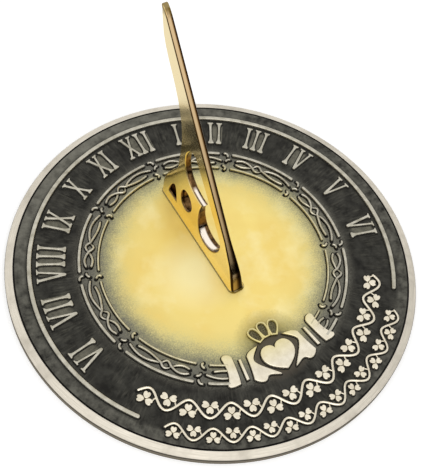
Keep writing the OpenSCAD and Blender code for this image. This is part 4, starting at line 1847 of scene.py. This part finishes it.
@dataclass
class Gnomon:
    """The pierced blade whose upper edge, the style, points to the pole, and its foot."""

    latitude: float = 51.5
    style_foot: float = 30.6
    height: float = 144
    tip_round: float = 7
    tip: Point = (2.6, 144)
    tip_back: Point = (4.2, 141.2)
    toe_y: float = 25.2
    toe_rise: float = 17
    heel_y: float = 63.6
    # Above its flare the blade's west face stands on the noon line
    middle_x: float = 2.3
    # Half the blade's thickness at heights above the field
    half_widths: tuple[Point, ...] = (
        (1, 5.1), (1.5, 4.9), (2.2, 4.7), (3.4, 4.45), (5, 4.2), (7.5, 3.9), (11, 3.6), (15, 3.3),
        (20, 2.9), (25, 2.55), (30, 2.35), (36, 2.3), (144, 2),
    )
    flare_top: float = 22
    foot_w: float = 11
    foot_h: float = 1
    foot_corner: float = 3.6
    foot_step: float = 0.8
    edge: float = 0.9
    window_round: float = 1.3
    window_curves: tuple[tuple[Point, ...], ...] = (
        ((25.4, 33), (35, 32.2), (45.8, 35.5), (34, 52)),
        ((34, 52), (29, 59), (19.6, 66), (15.4, 65)),
        ((15.4, 65), (13.9, 65), (13.8, 63.2), (13.7, 61.5)),
        ((13.7, 61.5), (12.2, 49.4), (10.6, 37.2), (9.7, 25)),
        ((9.7, 25), (9.8, 20.5), (22.2, 7.5), (35.1, 6.9)),
        ((35.1, 6.9), (43.3, 6.6), (42.4, 13.5), (34.4, 24)),
        ((34.4, 24), (31.5, 28), (28.4, 31), (25.4, 33)),
    )
    oval_at: Point = (53.5, 18.4)
    oval_half: Point = (7.2, 5.9)
    oval_turn: float = 65
    drop_curves: tuple[tuple[Point, ...], ...] = (
        ((72.2, 7.2), (75, 7.2), (78, 7.2), (81.2, 7.2)),
        ((81.2, 7.2), (77.4, 12), (71.9, 16.6), (68.6, 17.6)),
        ((68.6, 17.6), (67.8, 17.6), (69.3, 13), (72.2, 7.2)),
    )

    def behind(self, point: Point) -> Point:
        """Turns a distance behind the style and a height into a distance north."""
        back, up = point
        return back - self.style_foot + up / math.tan(math.radians(self.latitude)), up

    def behind_all(self, curves: Sequence[Sequence[Point]]) -> list[list[Point]]:
        """Does the same for every point of several curves."""
        return [[self.behind(point) for point in curve] for curve in curves]

    def outline(self) -> list[Point]:
        """Draws the blade from its toe up the style, over the tip and down the back.

        Returns:
            Points as distance north and height.
        """
        toe = (
            (-self.toe_y, 0),
            (-self.toe_y + 1, 3),
            self.behind((0, self.toe_rise * 0.55)),
            self.behind((0, self.toe_rise)),
        )
        top = self.height
        (tip_x, tip_z), (back_x, back_z) = self.tip, self.tip_back
        rounding = ((0, top - self.tip_round), (0, top - self.tip_round / 2), (tip_x - 1.8, tip_z - 0.8))
        over = self.behind_all(
            (
                (*rounding, self.tip),
                (self.tip, (tip_x + 0.9, tip_z), (back_x, back_z + 1.4), self.tip_back),
            )
        )
        swell, waist = (35.4, 59), (54, 36)
        back = self.behind_all(
            (
                (self.tip_back, (13.8, 128), (16.5, 117), (16.3, 107)),
                ((16.3, 107), (17.3, 94), (19.3, 80), swell),
            )
        )
        heel = (
            (self.behind(waist), (58.5, 27), (self.heel_y + 0.7, 17), (self.heel_y + 1.2, 8)),
            ((self.heel_y + 1.2, 8), (self.heel_y + 1.2, 4), (self.heel_y + 0.6, 2), (self.heel_y, 0)),
        )
        return [
            *bezier(toe, 14), self.behind((0, self.toe_rise)), *chained(over, 8), *chained(back, 24),
            self.behind(swell), *bezier(heel[0], 16), *bezier(heel[1], 8), (self.heel_y, 0),
        ]

    def oval(self) -> list[Point]:
        """Draws the oval opening.

        Returns:
            Points as distance north and height.
        """
        centre = Vector(self.behind(self.oval_at))
        turn = Matrix.Rotation(math.radians(self.oval_turn), 2)
        points = []
        for i in range(48):
            angle = math.tau * i / 48
            half = Vector((self.oval_half[0] * math.cos(angle), self.oval_half[1] * math.sin(angle)))
            points.append(tuple(centre + turn @ half))
        return points

    def half_width(self, height: float) -> float:
        """Gives half the blade's thickness at a height above the field.

        Args:
            height: The height.

        Returns:
            Half the thickness.
        """
        for (low, wide), (high, narrow) in zip(self.half_widths, self.half_widths[1:]):
            if height <= high:
                return wide + (narrow - wide) * max(0.0, height - low) / (high - low)
        return self.half_widths[-1][1]

    def section(self, height: float, half: float, ends: Point, corner: float) -> list[Place]:
        """Draws the plan at one height, a rectangle with round corners.

        Args:
            height: The height above the field.
            half: Half its width.
            ends: Its southern and northern ends.
            corner: The radius of its corners.

        Returns:
            The ring of points.
        """
        front, back = ends
        corner = min(corner, 0.48 * (back - front), 0.95 * half)
        x, y, middle = half - corner, (back - front) / 2 - corner, (front + back) / 2
        ring = []
        for side_x, side_y, first in ((x, y, 0), (-x, y, 90), (-x, -y, 180), (x, -y, 270)):
            for i in range(7):
                turn = math.radians(first + 15 * i)
                across = self.middle_x + side_x + corner * math.cos(turn)
                ring.append((across, middle + side_y + corner * math.sin(turn), FIELD_Z + height))
        return ring

    def passing(self, line: Sequence[Point], height: float) -> float:
        """Gives how far north a line passes a height.

        Args:
            line: Points as distance north and height.
            height: The height.

        Returns:
            The distance north.
        """
        for (a_y, a_z), (b_y, b_z) in zip(line, line[1:]):
            if min(a_z, b_z) <= height <= max(a_z, b_z) and a_z != b_z:
                return a_y + (b_y - a_y) * (height - a_z) / (b_z - a_z)
        return line[-1][0]

    def levels(self) -> list[float]:
        """Gives the heights of the blade's sections, close together where it curves.

        Returns:
            The heights above the field, upwards.
        """
        low = [self.foot_h + 33 * (i / 15) ** 1.5 for i in range(16)]
        bends = [low[-1] + 3 * i for i in range(1, 13)]
        upper = [bends[-1] + 7 * i for i in range(1, 9)]
        tip = [self.height - drop for drop in (5.2, 4, 3, 2.2, 1.5, 1, 0.6, 0.3, 0.1, 0.02)]
        return [*low, *bends, *upper, *tip]

    def body(self) -> Piece:
        """Makes the foot and the blade in one, section by section.

        Returns:
            The closed body, without its openings.
        """
        outline = self.outline()
        top = max(range(len(outline)), key=lambda i: outline[i][1])
        front, back = outline[: top + 1], outline[top:]
        foot_half = self.foot_w / 2
        foot_ends = (-self.toe_y - self.foot_step, self.heel_y + self.foot_step)
        rings = []
        for height, inset in ((0, 0), (self.foot_h - 0.3, 0), (self.foot_h - 0.1, 0.1), (self.foot_h, 0.3)):
            ends = (foot_ends[0] + inset, foot_ends[1] - inset)
            rings.append(self.section(height, foot_half - inset, ends, self.foot_corner - inset))
        for height in self.levels():
            # The corners are as round as the foot's at the bottom and crisp above the flare
            share = max(0.0, 1 - height / self.flare_top)
            corner = self.edge + (self.foot_corner - 0.6 - self.edge) * share**1.5
            rounding = self.edge - math.sqrt(
                max(0.0, self.edge**2 - max(0.0, height - self.height + self.edge) ** 2)
            )
            ends = (self.passing(front, height), self.passing(back, height))
            rings.append(self.section(height, self.half_width(height) - rounding, ends, corner))
        return lofted("gnomon_body", rings)

    def cutter(self, outline: Sequence[Point]) -> Piece:
        """Makes an opening's cutter, which widens to both faces so that their edges are round.

        Args:
            outline: The opening, as distance north and height.

        Returns:
            The cutter.
        """
        corners = corners_of(counterclockwise(outline))
        radius = self.window_round
        turns = [math.radians(turn) for turn in (75, 58, 40, 20, 0)]
        stations = [(1.05 * radius, 4.0), (1.05 * radius, 0.3)]
        stations += [(radius * (1 - math.cos(t)), radius * (math.sin(t) - 1)) for t in turns]
        rings = []
        for side, order in ((-1, stations), (1, stations[::-1])):
            for outward, beyond in order:
                ring = []
                for corner in corners:
                    y, z = corner.moved(-outward)
                    across = side * (self.half_width(corner.place.y) + beyond)
                    ring.append((self.middle_x + across, y, FIELD_Z + z))
                rings.append(ring)
        piece = lofted("cutter", rings)
        with editing(piece):
            bpy.ops.mesh.normals_make_consistent(inside=False)
        return piece

    def pierced(self) -> Piece:
        """Makes the gnomon with its three openings.

        Returns:
            The gnomon, its shading set.
        """
        gnomon = self.body()
        # The window with the sharp beak comes last, because a later cut would split its tip
        windows = (
            self.oval(),
            chained(self.behind_all(self.drop_curves), 10),
            chained(self.behind_all(self.window_curves), 14),
        )
        for outline in windows:
            combined(gnomon, self.cutter(outline), "DIFFERENCE")
        pick(gnomon)
        bpy.ops.object.shade_smooth_by_angle(angle=math.radians(38))
        # The flat faces keep even shading up to their rounded edges
        modifier = gnomon.modifiers.new("weigh", "WEIGHTED_NORMAL")
        modifier.keep_sharp = True
        bpy.ops.object.modifier_apply(modifier=modifier.name)
        return gnomon

    def build(self, material: bpy.types.Material) -> None:
        """Makes the gnomon and dresses it.

        Args:
            material: Its finish.
        """
        finished(self.pierced(), "gnomon", material, None)


@dataclass
class Fixings:
    """The screws and washers under the plate, which keep the frame's own shapes."""

    nodes: tuple[str, ...] = (
        "screw_front", "screw_rear", "spring_washer_front", "spring_washer_rear",
        "flat_washer_front", "flat_washer_rear",
    )

    def build(self, material: bpy.types.Material) -> None:
        """Dresses each fixing.

        Args:
            material: Its finish.
        """
        for name in self.nodes:
            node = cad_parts[name]
            node.data.materials.clear()
            node.data.materials.append(material)
            log.info("%s: dressed in %s", name, material.name)


# The studio


@dataclass
class Studio:
    """A pale floor, soft light all round and the camera."""

    # The camera's place and its three axes, from the fit to the dial's ellipses
    eye: Place = (-212.42, -249.3, 536.9)
    right: Place = (0.85656, -0.50593, 0.10164)
    down: Place = (-0.38131, -0.75325, -0.53592)
    lens: float = 75.0
    floor_half: float = 4000
    floor_colour: str = "E8E8E8"
    # The floor's own glow, as the camera sees it and as metal does
    floor_glow: Span = (0.35, 0.12)
    sky_strength: float = 0.82
    # The lamp stands behind the camera, so that flat faces don't mirror it
    lamp_at: Place = (-300, -550, 1000)
    lamp_size: float = 800
    lamp_watts: float = 3.0
    # Low dark cards on the dial's near side, which polished edges show as dark lines
    card_r: float = 500
    card_h: float = 125
    card_reach: Span = (98, 252)
    card_count: int = 6
    card_colour: str = "120F0C"

    def camera(self) -> None:
        """Sets the camera at the photograph's viewpoint."""
        bpy.ops.object.camera_add()
        camera = bpy.context.object
        camera.name = "camera"
        x_axis = Vector(self.right).normalized()
        y_axis = -Vector(self.down).normalized()
        z_axis = x_axis.cross(y_axis).normalized()
        turn = Matrix((x_axis, y_axis, z_axis)).transposed().to_4x4()
        camera.matrix_world = Matrix.Translation(Vector(self.eye) * MM) @ turn
        camera.data.lens = self.lens
        camera.data.clip_start, camera.data.clip_end = 0.01, 50
        bpy.context.scene.camera = camera

    def background_rays(self, add: Adder) -> bpy.types.Node:
        """Gives 1 for the rays that see the background: camera, glossy and transmission.

        Args:
            add: What adds a node to the tree.

        Returns:
            The factor.
        """
        rays = add("LightPath").outputs
        seen = add("Math", rays["Is Camera Ray"], rays["Is Glossy Ray"], operation="MAXIMUM")
        return add("Math", seen, rays["Is Transmission Ray"], operation="MAXIMUM")

    def floor(self) -> None:
        """Lays a wide white floor just under the dial."""
        bpy.ops.mesh.primitive_plane_add(size=2 * self.floor_half * MM, location=(0, 0, -0.2 * MM))
        floor = bpy.context.object
        floor.name = "floor"
        material, add = new_material("white_floor")
        shade = add("BsdfDiffuse", self.floor_colour)
        # The camera sees the floor white, and metal sees it a little greyer
        glossy = add("LightPath").outputs["Is Glossy Ray"]
        glow = add("Emission", "FFFFFF", add("MapRange", glossy, 0, 1, *self.floor_glow))
        lit = add("AddShader", shade, glow)
        mix = add("MixShader", self.background_rays(add), shade, lit)
        add("OutputMaterial", mix)
        floor.data.materials.append(material)

    def light(self) -> None:
        """Lights the dial from a white sky and one large soft lamp."""
        world = bpy.data.worlds.new("studio")
        bpy.context.scene.world = world
        world.use_nodes = True
        world.node_tree.nodes.clear()
        add = partial(add_node, world.node_tree)
        strength = add("MapRange", self.background_rays(add), 0, 1, self.sky_strength, 1.0)
        add("OutputWorld", add("Background", "FFFFFF", strength))
        spot = Vector(self.lamp_at) * MM
        bpy.ops.object.light_add(type="AREA", location=spot)
        lamp = bpy.context.object
        lamp.name = "soft_lamp"
        lamp.data.size = self.lamp_size * MM
        lamp.data.energy = self.lamp_watts
        lamp.rotation_euler = spot.to_track_quat("Z", "Y").to_euler()

    def cards(self) -> None:
        """Stands dark cards round the near side, which only glossy surfaces see."""
        material, add = new_material("dark_card")
        add("OutputMaterial", add("BsdfDiffuse", self.card_colour))
        feet = arc(self.card_r, *self.card_reach, self.card_count)
        for number, (left, right) in enumerate(zip(feet, feet[1:]), 1):
            low, high = [(*left, 0), (*right, 0)], [(*right, self.card_h), (*left, self.card_h)]
            card = drawn(f"dark_card_{number}", [*low, *high])
            card.data.materials.append(material)
            card.visible_camera = card.visible_diffuse = card.visible_shadow = False
            card.visible_transmission = card.visible_volume_scatter = False

    def build(self) -> None:
        """Sets up the camera, the floor, the cards and the light."""
        self.camera()
        self.floor()
        self.cards()
        self.light()
        bpy.context.scene.view_settings.view_transform = "Standard"


def main() -> None:
    """Builds the sundial round its frame, dresses it and sets up the studio."""
    logging.basicConfig(level=logging.INFO, format="%(name)s: %(message)s")
    plate = DialPlate()
    numerals = Numerals()
    field_finish = PatinatedCasting().build(plate.radius, numerals.worn_ground())
    relief_finish = RubbedRelief("rubbed_nickel_relief", "CCC7B8", "96917F").build()
    pale_finish = RubbedRelief("bright_nickel_relief", "EFE7D3", "D2C8B2").build()
    gnomon = Gnomon()
    brass = PolishedBrass().build(gnomon)
    zinc = ZincPlatedSteel().build()
    plate.build(field_finish)
    HourBand().build(relief_finish)
    numerals.build(relief_finish)
    KnotBorder().build(relief_finish)
    Claddagh().build(relief_finish, pale_finish)
    VineRow("vine_inner", 101, 4.8, 57, 5, 1.8).build(pale_finish)
    VineRow("vine_outer", 116, 4, 45, 4.2, 1.6).build(pale_finish)
    gnomon.build(brass)
    Fixings().build(zinc)
    Studio().build()


if __name__ == "__main__":
    main()
